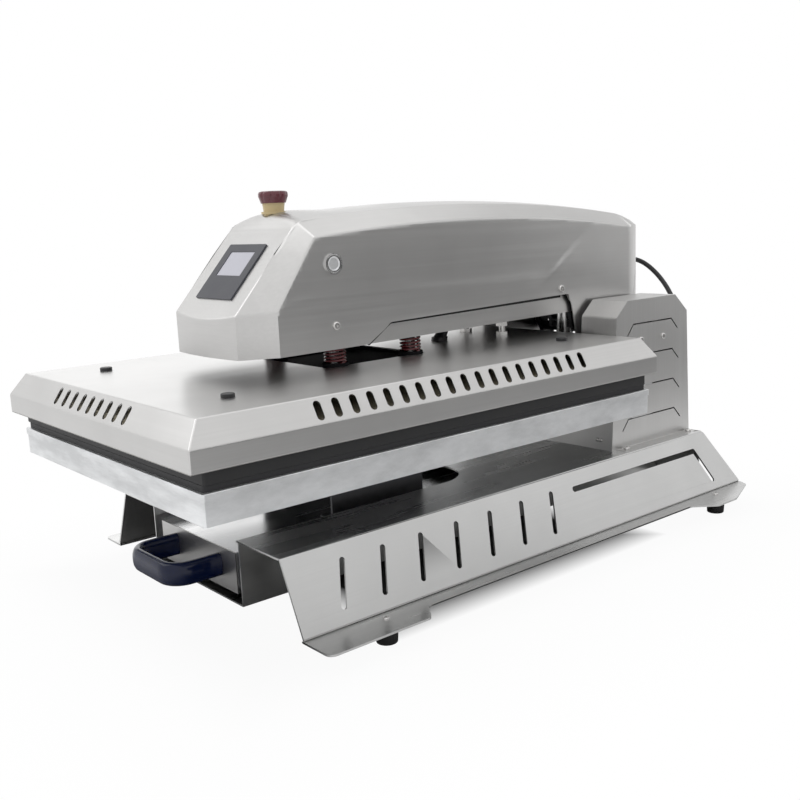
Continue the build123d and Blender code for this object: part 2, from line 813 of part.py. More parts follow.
def arm_side_face(x, panel, lift, inset, low):
    """The arm seen from its side at one X, from the bottom line up to the top line."""
    (low_y, low_z), (top_y, top_z) = panel
    slope = (top_y - low_y) / (top_z - low_z)
    foot_y = low_y - (low_z - low) * slope + inset * 1.35
    head_y = top_y + inset * 1.35 - inset * 0.6
    start = (x, head_y, top_z - inset)
    mid = (x, crest_y, crest_z + lift - inset)
    end = (x, crest_rear_y, crest_rear_z + lift - inset)
    turn_mid = (x, crest_rear_y + (arm_rear_y - crest_rear_y) * 0.78 - inset * 0.7,
                crest_rear_z + lift - (crest_rear_z + lift - arm_rear_shoulder_z) * 0.32 - inset * 0.7)
    turn_end = (x, arm_rear_y - inset, arm_rear_shoulder_z)
    bottom_rear = (x, arm_rear_y - inset, low)
    bottom_front = (x, foot_y, low)
    lines = [
        Line(bottom_front, start),
        ThreePointArc(start, mid, end),
        ThreePointArc(end, turn_mid, turn_end),
        Line(turn_end, bottom_rear),
        Line(bottom_rear, bottom_front),
    ]
    return make_face(lines)


def circle_through(first, second, third):
    """Centre and radius of the circle through three points in the side view."""
    (ay, az), (by, bz), (cy, cz) = first, second, third
    d = 2 * (ay * (bz - cz) + by * (cz - az) + cy * (az - bz))
    a, b, c = ay * ay + az * az, by * by + bz * bz, cy * cy + cz * cz
    y = (a * (bz - cz) + b * (cz - az) + c * (az - bz)) / d
    z = (a * (cy - by) + b * (ay - cy) + c * (by - ay)) / d
    return y, z, hypot(ay - y, az - z)


def arm_crown_body(inset, low):
    """The crown of the arm's top: a wide arched section carried along a flat arc."""
    half = arm_top_half_width - inset * 0.5
    front, rear = panel_top_y, crest_rear_y - crown_rear_gap
    rise = arm_crown - crown_edge_depth - inset
    y, z, radius = circle_through(
        (front, panel_top_z + rise), (crest_y, crest_z + rise),
        (rear, crest_rear_z + (crest_rear_y - rear) * 0.12 - inset))
    axis = Axis((0, y, z), (1, 0, 0))
    top, foot = z + radius - arm_crown, z + radius - 40
    section = make_face([
        ThreePointArc((-half, y, top), (0, y, top + arm_crown), (half, y, top)),
        Line((half, y, top), (half, y, foot)),
        Line((half, y, foot), (-half, y, foot)),
        Line((-half, y, foot), (-half, y, top)),
    ])
    crown = revolve(section.rotate(axis, -12), axis, 24)
    slope = (panel_top_y - nose_front_y) / (panel_top_z - panel_low_z)
    head_y, head_z = panel_top_y + inset * 0.75, panel_top_z - inset
    foot_y = nose_front_y - (panel_low_z - low) * slope + inset * 1.35
    lean = (head_y - foot_y) / (head_z - low)
    high, deep = head_z + 30, head_z - 20
    limit = side_profile([
        (head_y + (deep - head_z) * lean, deep), (head_y + (high - head_z) * lean, high),
        (rear + 5, high), (rear + 5, deep)], -half + crown_side_gap, half - crown_side_gap)
    return crown & limit


def arm_block(inset, low):
    """The arm as a solid: a crowned middle, a bevel each side, and a trimmed plan outline."""
    half = arm_half_width - inset
    top_half = arm_top_half_width - inset * 0.5
    panel = ((nose_front_y, panel_low_z), (panel_top_y, panel_top_z))
    crease = ((crease_low_y, crease_low_z), (crease_top_y, panel_top_z - arm_bevel_drop))
    inner = arm_side_face(top_half, panel, 0.0, inset, low)
    outer = arm_side_face(half, crease, -arm_bevel_drop, inset, low)
    middle = extrude(inner, amount=-2 * top_half, dir=(1, 0, 0))
    bevel = loft([inner, outer], ruled=True)
    solid = middle + bevel + bevel.mirror(Plane.YZ) + arm_crown_body(inset, low)
    return solid & arm_plan(inset, low)


def arm_plan(inset, low):
    """The arm seen from above: bulged nose, cut corners and a round rear."""
    top = arm_top_half_width - inset * 0.5
    front = nose_front_y + inset
    corner_slope = (crease_low_y - nose_front_y) / (arm_half_width - arm_top_half_width)
    wide = arm_half_width + 20
    wide_y = crease_low_y + 20 * corner_slope + inset * 1.9
    rear = arm_rear_y - inset
    radius = arm_rear_corner - inset
    side = arm_half_width - inset
    turn = radius * (1 - sqrt(0.5))
    lines = [
        ThreePointArc((-top, front), (0, front - nose_bulge), (top, front)),
        Line((top, front), (wide, wide_y)),
        Line((wide, wide_y), (wide, rear - radius)),
        Line((wide, rear - radius), (side, rear - radius)),
        ThreePointArc((side, rear - radius), (side - turn, rear - turn), (side - radius, rear)),
        Line((side - radius, rear), (radius - side, rear)),
        ThreePointArc((radius - side, rear), (turn - side, rear - turn), (-side, rear - radius)),
        Line((-side, rear - radius), (-wide, rear - radius)),
        Line((-wide, rear - radius), (-wide, wide_y)),
        Line((-wide, wide_y), (-top, front)),
    ]
    height = crest_z + 60 - low
    return extrude(Pos(0, 0, low - 1) * make_face(lines), amount=height)


def arm_belly_cutter():
    """What is cut away under the arm: nose bottom, raised belly and the lobe in the column."""
    low = lobe_bottom - 40
    points = [
        (nose_front_y - 120, low), (nose_front_y - 120, nose_bottom), (nose_rear_y, nose_bottom + 2),
        (arm_belly_front_y, arm_belly_z), (arm_belly_rear_y + arm_belly_corner, arm_belly_z + 3),
        (lobe_front_y, lobe_bottom), (pivot_y + 15, lobe_bottom),
        (arm_rear_y + 20, lobe_bottom + lobe_rise), (arm_rear_y + 20, low),
    ]
    radii = [0, 0, 0, 10, arm_belly_corner, lobe_corner, 10, 0, 0]
    wire = FilletPolyline(*[(-150, y, z) for y, z in points], radius=radii, close=True)
    return extrude(make_face(wire), amount=300, dir=(1, 0, 0))


def arm_cover():
    """The sheet cover of the arm, open underneath."""
    low = lobe_bottom - 30
    cover = arm_block(0.0, low) - arm_block(arm_sheet, low - 10) - arm_belly_cutter()
    cover -= bar(shaft_radius + 7, (-150, pivot_y, pivot_z), (1, 0, 0), 300)
    cover -= bar(stop_stem_radius + 2.2, (0, stop_y, stop_base_z - 20), (0, 0, 1), 60)
    cover -= bar(button_bezel_radius - 2.3, (-150, button_y, button_z), (1, 0, 0), 300)
    for y, z in arm_screw_places():
        cover -= bar(2.7, (-150, y, z), (1, 0, 0), 300)
    window = panel_plane() * Pos(0, bezel_low + bezel_height / 2) * Rectangle(bezel_width - 10,
                                                                           bezel_height - 10)
    cover -= extrude(window, 8.0, both=True)
    x, y, z = cable_route[0]
    cover -= bar(cable_gland_radius - 3, (x, y - 40, z), (0, 1, 0), 60)
    return cover


def panel_plane():
    """The sloped front panel: local x across, local y up the slope, from its lower edge."""
    rise = Vector(0, panel_top_y - nose_front_y, panel_top_z - panel_low_z).normalized()
    outward = Vector(1, 0, 0).cross(rise)
    return Plane((0, nose_front_y, panel_low_z), x_dir=(1, 0, 0), z_dir=outward)


def arm_screw_places():
    """Screws in the side of the arm cover, as Y and Z."""
    return [(button_y - 0.5, nose_bottom + arm_screw_rise),
            (arm_rear_screw_y, nose_bottom + arm_rear_screw_rise)]


def arm_cover_screws():
    """Screws in both sides of the arm cover, into the beam."""
    screws = []
    for side in (-1, 1):
        for y, z in arm_screw_places():
            screws.append(screw((side * arm_half_width, y, z), (side, 0, 0), 5.4, 3.2, 2.5, 12.0))
    return screws


def arm_beam():
    """The folded pan that stiffens the arm, with holes for the springs, studs and gland."""
    beam = block(-beam_half_width, beam_half_width, beam_front_y, beam_rear_y, beam_bottom, beam_top)
    inner = beam_half_width - beam_sheet
    beam -= block(-inner, inner, beam_front_y - 1, beam_rear_y + 1, beam_bottom + beam_sheet,
                  beam_top + 1)
    nose_cut = side_profile([(beam_front_y - 1, beam_top + 1), (beam_front_y - 1, beam_top - 30),
                             (beam_front_y + 60, beam_top + 1)], -120, 120)
    beam -= nose_cut
    for x, y in spring_places:
        beam -= bar(spring_outer_diameter / 2 + 2.5, (x, y, beam_bottom - 1), (0, 0, 1),
                    beam_sheet + 2)
    for x in (-rear_stud_x, rear_stud_x):
        beam -= bar(rear_stud_radius + 2, (x, rear_stud_y, beam_bottom - 1), (0, 0, 1), beam_sheet + 2)
    beam -= bar(platen_gland_radius + 3, (0, platen_gland_y, beam_bottom - 1), (0, 0, 1),
                beam_sheet + 2)
    for side in (-1, 1):
        for y, z in arm_screw_places():
            start = (side * (beam_half_width + 1), y, z)
            beam -= bar(2.6, start, (-side, 0, 0), beam_sheet + 2)
    return beam


def arm_lever():
    """Welded lever: two plates along the beam, the pivot hub, and the ears for the actuator."""
    z0 = beam_bottom + beam_sheet
    plate = side_profile([
        (lever_front_y, z0), (lever_front_y, z0 + 50), (pivot_y, z0 + 50), (pivot_y + 16, pivot_z),
        (pivot_y + 8, pivot_z - 20), (pivot_y - 14, pivot_z - 22), (pivot_y - 40, z0)],
        lever_outer_x - lever_plate, lever_outer_x)
    inside = lever_outer_x - lever_plate + 1
    lever = bar(hub_radius, (-inside, pivot_y, pivot_z), (1, 0, 0), 2 * inside)
    lever += block(-inside, inside, actuator_y - 20, actuator_y + 20, z0 + 12, z0 + 20)
    ear = side_profile([(actuator_y - 16, z0 + 12), (actuator_y + 16, z0 + 12),
                        (actuator_y + 10, actuator_high_z - 10), (actuator_y - 10, actuator_high_z - 10)],
                       18, 24)
    for piece in both_sides(plate) + [Pos(actuator_x, 0, 0) * piece for piece in both_sides(ear)]:
        lever += piece
    bush_radius = shaft_radius + running_clearance + bush_wall
    lever -= bar(shaft_radius + 2, (-150, pivot_y, pivot_z), (1, 0, 0), 300)
    for side in (-1, 1):
        lever -= bar(bush_radius, (side * (lever_outer_x - bush_length), pivot_y, pivot_z),
                     (side, 0, 0), bush_length + 2)
    lever -= bar(actuator_pin_radius + running_clearance,
                 (actuator_x - 40, actuator_y, actuator_high_z), (1, 0, 0), 80)
    for side in (-1, 1):
        y, z = arm_screw_places()[1]
        lever -= bar(2.6, (side * (lever_outer_x + 1), y, z), (-side, 0, 0), 6)
    return lever


def pivot_bushes():
    """Bronze bushes pressed into the hub and running on the shaft."""
    outer = shaft_radius + running_clearance + bush_wall
    bush = ring(outer, shaft_radius + running_clearance,
                (lever_outer_x - bush_length, pivot_y, pivot_z), (1, 0, 0), bush_length)
    return both_sides(bush)


def spring_plate():
    """Plate across the beam that the springs push against."""
    inner = beam_half_width - beam_sheet - 0.2
    plate = block(-inner, inner, spring_rows_y[0] - spring_plate_margin,
                  spring_rows_y[1] + spring_plate_margin, spring_plate_z,
                  spring_plate_z + spring_plate_thickness)
    for x, y in spring_places:
        plate -= bar(post_radius + running_clearance + guide_wall, (x, y, spring_plate_z - 1),
                     (0, 0, 1), spring_plate_thickness + 2)
    return plate


def guide_bushes():
    """Flanged bushes in the spring plate that guide the posts."""
    bushes = []
    outer = post_radius + running_clearance + guide_wall
    top = spring_plate_z + spring_plate_thickness
    for x, y in spring_places:
        bush = ring(outer, post_radius + running_clearance, (x, y, spring_plate_z), (0, 0, 1),
                    spring_plate_thickness)
        bush += ring(outer + 3, post_radius + running_clearance, (x, y, top), (0, 0, 1), 2.0)
        bushes.append(bush)
    return bushes


def screen_bezel():
    """Dark frame of the touch screen, set on the sloped panel."""
    plane = panel_plane()
    middle = bezel_low + bezel_height / 2
    plate = extrude(plane * Pos(0, middle) * RectangleRounded(bezel_width, bezel_height, 1.5),
                    bezel_thickness)
    skirt = extrude(plane * Pos(0, middle) * Rectangle(bezel_width - 11, bezel_height - 11), -6.0)
    opening = plane * Pos(0, glass_low + glass_height / 2, -8) * Rectangle(glass_width, glass_height)
    inside = extrude(plane * Pos(0, middle, -8) * Rectangle(bezel_width - 17, bezel_height - 17), 7.0)
    return plate + skirt - extrude(opening, 20) - inside


def screen_glass():
    """Glass of the touch screen, a little below the face of its frame."""
    place = Pos(0, glass_low + glass_height / 2, 0.2)
    return extrude(panel_plane() * place * Rectangle(glass_width - 0.4, glass_height - 0.4), 1.2)


def control_board():
    """Circuit board behind the screen with its display module and connectors."""
    plane = panel_plane()
    middle = bezel_low + bezel_height / 2
    board = extrude(plane * Pos(0, middle, -12) * Rectangle(70, 70), 1.6)
    module = extrude(plane * Pos(0, glass_low + glass_height / 2, -10.3) * Rectangle(56, 36), 8.0)
    relay = extrude(plane * Pos(-18, bezel_low + 18, -27) * Rectangle(20, 16), 14.9)
    terminal = extrude(plane * Pos(16, bezel_low + 16, -23) * Rectangle(30, 10), 10.9)
    return [board, module, relay, terminal]


def stop_collar():
    """Yellow collar of the emergency stop, with its fixing nut inside the cover."""
    start = (0, stop_y, stop_base_z)
    collar = ring(stop_collar_radius, stop_stem_radius + 0.4, start, (0, 0, 1), stop_collar_height)
    collar = collar + ring(stop_collar_radius + 3, stop_stem_radius + 0.4, start, (0, 0, 1), 3.0)
    neck = ring(stop_stem_radius + 2, stop_stem_radius + 0.4, (0, stop_y, stop_base_z - 22),
                (0, 0, 1), 22)
    block_z = stop_base_z - 56
    contact = block(-15, 15, stop_y - 15, stop_y + 15, block_z, block_z + 34)
    contact -= bar(stop_stem_radius + 0.4, (0, stop_y, block_z + 20), (0, 0, 1), 20)
    return collar + neck + contact


def stop_stem():
    """Stem that the emergency stop's head turns on and pushes down."""
    top = stop_base_z + stop_collar_height + stop_hollow_depth + 3
    return bar(stop_stem_radius, (0, stop_y, stop_base_z - 30), (0, 0, 1), top - stop_base_z + 30)


def stop_head():
    """Red mushroom head with grip flutes round its rim, hollow below to go down over the collar."""
    low = stop_base_z + stop_collar_height
    head = bar(stop_head_radius, (0, stop_y, low), (0, 0, 1), stop_head_height)
    head = fillet(head.edges().sort_by(Axis.Z)[-1:], 4.5)
    head = chamfer(head.edges().sort_by(Axis.Z)[:1], 8.0, 2.6)
    for index in range(12):
        angle = radians(30.0 * index + 15.0)
        reach = stop_head_radius + 1.2
        place = (reach * cos(angle), stop_y + reach * sin(angle), low - 1)
        head -= bar(2.6, place, (0, 0, 1), stop_head_height + 2)
    head -= bar(stop_hollow_radius, (0, stop_y, low - 1), (0, 0, 1), stop_hollow_depth + 1)
    return head - bar(stop_stem_radius + running_clearance, (0, stop_y, low + stop_hollow_depth - 1),
                      (0, 0, 1), 4.0)


def button_bezels():
    """Metal rings of the two push buttons, with their threaded tails inside the cover."""
    start = (arm_half_width, button_y, button_z)
    bezel = ring(button_bezel_radius, button_radius + 0.3, start, (1, 0, 0), 3.0)
    bezel = bezel + ring(button_bezel_radius - 2.5, button_radius + 0.3,
                         (arm_half_width - 22, button_y, button_z), (1, 0, 0), 22)
    end_wall = bar(button_bezel_radius - 2.5, (arm_half_width - 24, button_y, button_z), (1, 0, 0), 3)
    return both_sides(bezel + end_wall)


def push_button():
    """The right push button, which moves into the arm."""
    start = (arm_half_width - 14, button_y, button_z)
    button = bar(button_radius, start, (1, 0, 0), 16.5)
    button = fillet(button.edges().sort_by(Axis.X)[-1:], 1.0)
    dish = bar(button_radius - 2.5, (arm_half_width + 1.9, button_y, button_z), (1, 0, 0), 2)
    return button - dish


def arm_gland():
    """Gland in the rear of the arm cover that the cable comes out of."""
    return gland(cable_route[0], arm_rear_y + 0.1)


# Heater platen

def heater_frustum(inset, low, rise):
    """The heater cover as a solid: upright skirt, bevelled sides and flat top."""
    width = heater_cover_width - 2 * inset
    length = heater_cover_length - 2 * inset
    rim = heater_rim - inset * 0.3
    skirt = Pos(0, heater_mid_y, low) * extrude(Rectangle(width, length), rim - low)
    base = Pos(0, heater_mid_y, rim) * Rectangle(width, length)
    cap = Pos(0, heater_mid_y, heater_top - inset + rise) * Rectangle(
        width - 2 * heater_bevel_side, length - 2 * heater_bevel_end)
    return skirt + loft([base, cap], ruled=True)


def bevel_slot(plane):
    """A cutter for one vent slot on a bevel."""
    slot = plane * SlotOverall(vent_slot_length, vent_slot_width, rotation=90)
    return extrude(slot, 8.0, both=True)


def bevel_plane(side, along):
    """A plane at the middle of the right or front bevel, local y up the slope."""
    half_x = heater_cover_width / 2 - heater_bevel_side / 2
    mid_z = heater_rim + heater_bevel_height / 2
    if side == "right":
        up = Vector(-heater_bevel_side, 0, heater_bevel_height).normalized()
        across = Vector(0, 1, 0)
        return Plane((half_x, heater_mid_y + along, mid_z), x_dir=across, z_dir=across.cross(up))
    up = Vector(0, heater_bevel_end, heater_bevel_height).normalized()
    across = Vector(1, 0, 0)
    return Plane((along, heater_bevel_end / 2, mid_z), x_dir=across, z_dir=across.cross(up))


def centred_steps(count, pitch):
    """Evenly spaced places about zero."""
    return [(index - (count - 1) / 2) * pitch for index in range(count)]


def heater_cover():
    """Sheet cover of the heater with its rows of vent slots and its post holes."""
    cover = heater_frustum(0.0, skirt_bottom, 0.0)
    cover -= heater_frustum(heater_sheet, skirt_bottom - 5, 0.0)
    cutters = []
    for along in centred_steps(side_slot_count, side_slot_pitch):
        cutters += both_sides(bevel_slot(bevel_plane("right", along)))
    middle = Plane.XZ.offset(-heater_mid_y)
    for along in centred_steps(end_slot_count, end_slot_pitch):
        front = bevel_slot(bevel_plane("front", along))
        cutters += [front, front.mirror(middle)]
    for x, y in spring_places:
        cutters.append(bar(post_radius + 1.0, (x, y, heater_top - 8), (0, 0, 1), 16))
    for x in (-rear_stud_x, rear_stud_x):
        cutters.append(bar(rear_stud_radius + 0.5, (x, rear_stud_y, heater_top - 8), (0, 0, 1), 16))
    for x, y in plug_places():
        cutters.append(bar(plug_radius - 1.8, (x, y, heater_top - 8), (0, 0, 1), 16))
    cutters.append(bar(platen_gland_radius - 3.5, (0, platen_gland_y, heater_top - 8), (0, 0, 1), 16))
    return cover - cutters


def plug_places():
    """Where the four black plugs sit in the heater cover."""
    x = heater_cover_width / 2 - plug_inset_x
    far = heater_cover_length - plug_inset_y
    return [(side * x, y) for side in (-1, 1) for y in (plug_inset_y, far)]


def cover_plugs():
    """Black plugs in the top of the heater cover."""
    plugs = []
    for x, y in plug_places():
        plug = bar(plug_radius, (x, y, heater_top), (0, 0, 1), plug_height)
        plug = fillet(plug.edges().sort_by(Axis.Z)[-1:], 1.2)
        plugs.append(plug + bar(plug_radius - 2, (x, y, heater_top - 6), (0, 0, 1), 6))
    return plugs


def heater_plate():
    """The heated aluminium plate."""
    plate = extrude(RectangleRounded(plate_width, plate_length, plate_corner), plate_thickness)
    plate = Pos(0, heater_mid_y, plate_bottom) * plate
    return chamfer(plate.edges().group_by(Axis.Z)[0], 1.0)


def heating_element():
    """Tubular element laid in long runs on the plate."""
    z = plate_top + element_diameter / 2 + 0.1
    pitch = (plate_width - 90) / (element_runs - 1)
    reach = plate_length / 2 - 60
    points = []
    for index in range(element_runs):
        x = -plate_width / 2 + 45 + index * pitch
        ends = (-reach, reach) if index % 2 == 0 else (reach, -reach)
        points += [(x, heater_mid_y + ends[0], z), (x, heater_mid_y + ends[1], z)]
    path = FilletPolyline(*points, radius=pitch * 0.3)
    section = Plane(path @ 0, z_dir=path % 0) * Circle(element_diameter / 2)
    return sweep(section, path)


def insulation():
    """Mineral wool slab over the element, with holes for the posts."""
    slab = block(-plate_width / 2 + 8, plate_width / 2 - 8, heater_mid_y - plate_length / 2 + 8,
                 heater_mid_y + plate_length / 2 - 8, insulation_bottom,
                 insulation_bottom + insulation_thickness)
    for x, y in spring_places:
        slab -= bar(post_radius + 1.5, (x, y, insulation_bottom - 1), (0, 0, 1),
                    insulation_thickness + 2)
    return slab


def platen_stiffener():
    """Steel plate that spreads the load of the springs over the heater."""
    plate = Pos(0, heater_mid_y, stiffener_bottom) * extrude(
        RectangleRounded(stiffener_width, stiffener_length, 20.0), stiffener_thickness)
    for x, y in spring_places:
        plate -= bar(post_radius + running_clearance, (x, y, stiffener_bottom - 1), (0, 0, 1),
                     stiffener_thickness + 2)
    for x in (-rear_stud_x, rear_stud_x):
        plate -= bar(rear_stud_radius + running_clearance, (x, rear_stud_y, stiffener_bottom - 1),
                     (0, 0, 1), stiffener_thickness + 2)
    return plate


def guide_posts():
    """Posts that hang the platen in the arm and keep it square."""
    top = spring_plate_z + spring_plate_thickness + post_above_plate
    posts = []
    for x, y in spring_places:
        post = bar(post_radius, (x, y, plate_top + 0.1), (0, 0, 1), top - plate_top - 0.1)
        post = chamfer(post.edges().sort_by(Axis.Z)[-1:], 1.5)
        posts.append(post)
    return posts


def post_nuts():
    """Nuts on the posts, resting on the guide bushes."""
    z = spring_plate_z + spring_plate_thickness + 2.1
    return [hex_nut((x, y, z), 22.0, 11.0, post_radius + 0.05) for x, y in spring_places]


def spring_seats():
    """Seats for the springs on the heater cover."""
    seats = []
    for x, y in spring_places:
        seats.append(ring(seat_radius, post_radius + 0.2, (x, y, heater_top), (0, 0, 1),
                          seat_thickness))
    return seats


def rear_studs():
    """Studs at the rear of the platen with a nut under the beam."""
    studs = []
    for x in (-rear_stud_x, rear_stud_x):
        start = (x, rear_stud_y, stiffener_bottom)
        stud = bar(rear_stud_radius, start, (0, 0, 1), beam_bottom + 25 - stiffener_bottom)
        stud += hex_nut((x, rear_stud_y, beam_bottom - platen_float - 9.0), 17.0, 8.0, 2.0)
        stud += hex_nut((x, rear_stud_y, heater_top + 0.1), 17.0, 6.0, 2.0)
        studs.append(stud)
    return studs


def platen_gland():
    """Black gland where the heater's wires leave its cover, with a cone going up."""
    place = (0, platen_gland_y, heater_top)
    gland = bar(platen_gland_radius, place, (0, 0, 1), 5.0)
    gland += Solid.make_cone(platen_gland_radius - 2, 6.0, 18.0,
                             Plane((0, platen_gland_y, heater_top + 5)))
    gland += bar(5.0, (0, platen_gland_y, heater_top + 23), (0, 0, 1), 24.0)
    return gland + bar(platen_gland_radius - 4, (0, platen_gland_y, heater_top - 5), (0, 0, 1), 5)


def biarc(start, start_way, end, end_way):
    """Two arcs that join two points with given directions."""
    run = end - start
    ways = start_way + end_way
    slack = 2 * (1 - start_way.dot(end_way))
    along = run.dot(ways)
    reach = (-along + sqrt(along * along + slack * run.dot(run))) / slack
    first = start + start_way * reach
    second = end - end_way * reach
    joint = (first + second) / 2
    joint_way = (second - first).normalized()
    return [Edge.make_tangent_arc(start, start_way, joint),
            Edge.make_tangent_arc(joint, joint_way, end)]


def spring_coil():
    """One compression spring about the Z axis, standing on Z = 0, as one unbroken wire."""
    radius = (spring_outer_diameter - spring_wire) / 2
    length = spring_plate_z - heater_top - seat_thickness - 2 * spring_end_gap
    rise = (length - spring_wire) / spring_turns
    steepness = rise / (2 * pi * radius)

    def at(turn):
        angle = 2 * pi * turn
        place = Vector(radius * cos(angle), radius * sin(angle), spring_wire / 2 + rise * turn)
        way = Vector(-sin(angle), cos(angle), steepness).normalized()
        return place, way

    edges = []
    first_place, first_way = at(0)
    edges.append(Edge.make_line(first_place - first_way * spring_wire, first_place))
    for quarter in range(4 * spring_turns):
        place, way = at(quarter / 4)
        next_place, next_way = at((quarter + 1) / 4)
        edges += biarc(place, way, next_place, next_way)
    last_place, last_way = at(spring_turns)
    edges.append(Edge.make_line(last_place, last_place + last_way * spring_wire))
    wire = Wire(edges)
    section = Plane(wire @ 0, z_dir=wire % 0) * Circle(spring_wire / 2)
    coil = sweep(section, path=wire)
    gap = least_coil_gap(at, rise, length)
    print(f"pressure spring: least gap to itself {gap:.2f} mm, wire length {wire.length:.0f} mm, "
          f"volume ratio {coil.volume / (pi * spring_wire ** 2 / 4 * wire.length):.4f}")
    return coil


def least_coil_gap(at, rise, length):
    """The least distance between turns of the spring, measured on points along its centre line."""
    steps = 36
    points = [at(index / steps)[0] for index in range(steps * spring_turns + 1)]
    least = length
    for index, point in enumerate(points):
        for other in points[index + steps // 2:index + steps + steps // 2]:
            least = min(least, (other - point).length)
    return least - spring_wire


def pressure_springs():
    """The four springs between the arm and the platen."""
    coil = spring_coil()
    z = heater_top + seat_thickness + spring_end_gap
    return [Pos(x, y, z) * coil for x, y in spring_places]


# Table and drawer

def table_body():
    """Cast aluminium tray under the table's top plate, with ribs underneath."""
    body = extrude(RectangleRounded(table_width, table_length, table_corner), table_body_depth)
    body = Pos(0, table_mid_y, table_bottom) * body
    body -= block(-table_width / 2 + table_wall * 3, table_width / 2 - table_wall * 3,
                  table_mid_y - table_length / 2 + table_wall * 3,
                  table_mid_y + table_length / 2 - table_wall * 3,
                  table_bottom - 1, table_bottom + table_body_depth - table_wall * 2)
    for x in (-bracket_spread + 14, 0, bracket_spread - 14):
        body += block(x - 13, x + 13, table_mid_y - table_length / 2 + 5,
                      table_mid_y + table_length / 2 - 5, table_bottom,
                      table_bottom + table_body_depth - 2)
    for x, y in bracket_bolt_places():
        body -= bar(3.3, (x, y, table_bottom - 1), (0, 0, 1), 16)
    return body


def table_top():
    """The table's top plate, which stands a little proud of the tray."""
    plate = extrude(RectangleRounded(table_width + 2 * table_lip, table_length + 2 * table_lip,
                                     table_corner + table_lip), table_top_thickness)
    plate = Pos(0, table_mid_y, table_top_bottom) * plate
    return fillet(plate.edges().group_by(Axis.Z)[-1], 1.5)


def silicone_pad():
    """Black silicone pad on the table."""
    pad = extrude(RectangleRounded(table_width - 2 * pad_inset, table_length - 2 * pad_inset,
                                   pad_corner), pad_thickness)
    return Pos(0, table_mid_y, pad_bottom) * pad


def bracket_bolt_places():
    """Bolts of the table brackets, the same at the table and at the drawer."""
    x = bracket_spread - bracket_sheet - bracket_flange / 2
    ys = (bracket_front_y + 22, bracket_front_y + bracket_length - 22)
    return [(side * x, y) for side in (-1, 1) for y in ys]


def table_brackets():
    """Two C-shaped brackets that stand on the drawer and carry the table."""
    y0 = bracket_front_y
    y1 = bracket_front_y + bracket_length
    inner = bracket_spread - bracket_sheet - bracket_flange
    bracket = block(inner, bracket_spread, y0, y1, drawer_top, table_bottom)
    bracket -= block(inner - 1, bracket_spread - bracket_sheet, y0 - 1, y1 + 1,
                     drawer_top + bracket_sheet, table_bottom - bracket_sheet)
    bracket = fillet(bracket.edges().filter_by(Axis.Y).sort_by(Axis.X)[-2:], 3.0)
    x = bracket_spread - bracket_sheet - bracket_flange / 2
    for y in (y0 + 22, y1 - 22):
        bracket -= bar(3.3, (x, y, drawer_top - 1), (0, 0, 1), table_bottom - drawer_top + 2)
    return both_sides(bracket)


def bracket_bolts():
    """Hexagon bolts at the top and bottom of the table brackets."""
    bolts = []
    for x, y in bracket_bolt_places():
        low = drawer_top + bracket_sheet
        lower = hex_nut((x, y, low), 12.0, 6.0, 2.0) + bar(3.0, (x, y, drawer_top - 8), (0, 0, 1), 20)
        high = table_bottom - bracket_sheet
        upper = hex_nut((x, y, high - 6), 12.0, 6.0, 2.0) + bar(3.0, (x, y, high - 6), (0, 0, 1), 18)
        bolts += [lower, upper]
    return bolts


def drawer_box():
    """Folded carriage of the drawer, closed on top and open underneath."""
    half = drawer_width / 2
    front = drawer_front_y + drawer_sheet
    box = block(-half, half, front, front + drawer_length, drawer_bottom, drawer_top)
    box -= block(-half + drawer_sheet, half - drawer_sheet, front - 1,
                 front + drawer_length - drawer_sheet, drawer_bottom - 1, drawer_top - drawer_sheet)
    for x, y in bracket_bolt_places():
        box -= bar(3.3, (x, y, drawer_top - 10), (0, 0, 1), 20)
    return box


def drawer_front():
    """Front plate of the drawer."""
    plate = block(-drawer_width / 2, drawer_width / 2, drawer_front_y, drawer_front_y + drawer_sheet,
                  drawer_bottom, drawer_top)
    for x in handle_screw_places():
        plate -= bar(2.7, (x, drawer_front_y - 1, handle_mid_z), (0, 1, 0), drawer_sheet + 2)
    return plate


def handle_screw_places():
    """The X of the handle's two screws."""
    reach = handle_width / 2 - handle_thickness / 2
    return [-reach, reach]


def drawer_handle():
    """Loop handle moulded in blue plastic."""
    half = handle_width / 2
    tall = handle_height
    front = drawer_front_y - handle_reach
    outer = FilletPolyline((-half, drawer_front_y), (-half, front), (half, front),
                           (half, drawer_front_y), radius=handle_corner)
    outer_face = make_face([*outer.edges(), Line((half, drawer_front_y), (-half, drawer_front_y))])
    inner_half = half - handle_thickness
    inner_front = front + handle_thickness
    inner = FilletPolyline((-inner_half, drawer_front_y + 5), (-inner_half, inner_front),
                           (inner_half, inner_front), (inner_half, drawer_front_y + 5),
                           radius=handle_corner - handle_thickness)
    inner_face = make_face([*inner.edges(), Line((inner_half, drawer_front_y + 5),
                                                 (-inner_half, drawer_front_y + 5))])
    low = handle_mid_z - tall / 2
    handle = Pos(0, 0, low) * extrude(outer_face - inner_face, tall)
    rims = [edge for edge in handle.edges()
            if abs(edge.center().Z - handle_mid_z) > tall / 2 - 0.1
            and edge.center().Y < drawer_front_y - 0.1]
    handle = fillet(rims, handle_rim)
    for x in handle_screw_places():
        handle -= bar(2.3, (x, drawer_front_y + 1, handle_mid_z), (0, -1, 0), 22)
    return handle


def handle_screws():
    """Screws from inside the drawer into the handle's legs."""
    return [screw((x, drawer_front_y + drawer_sheet, handle_mid_z), (0, 1, 0), 4.5, 3.0, 2.2, 18.0)
            for x in handle_screw_places()]


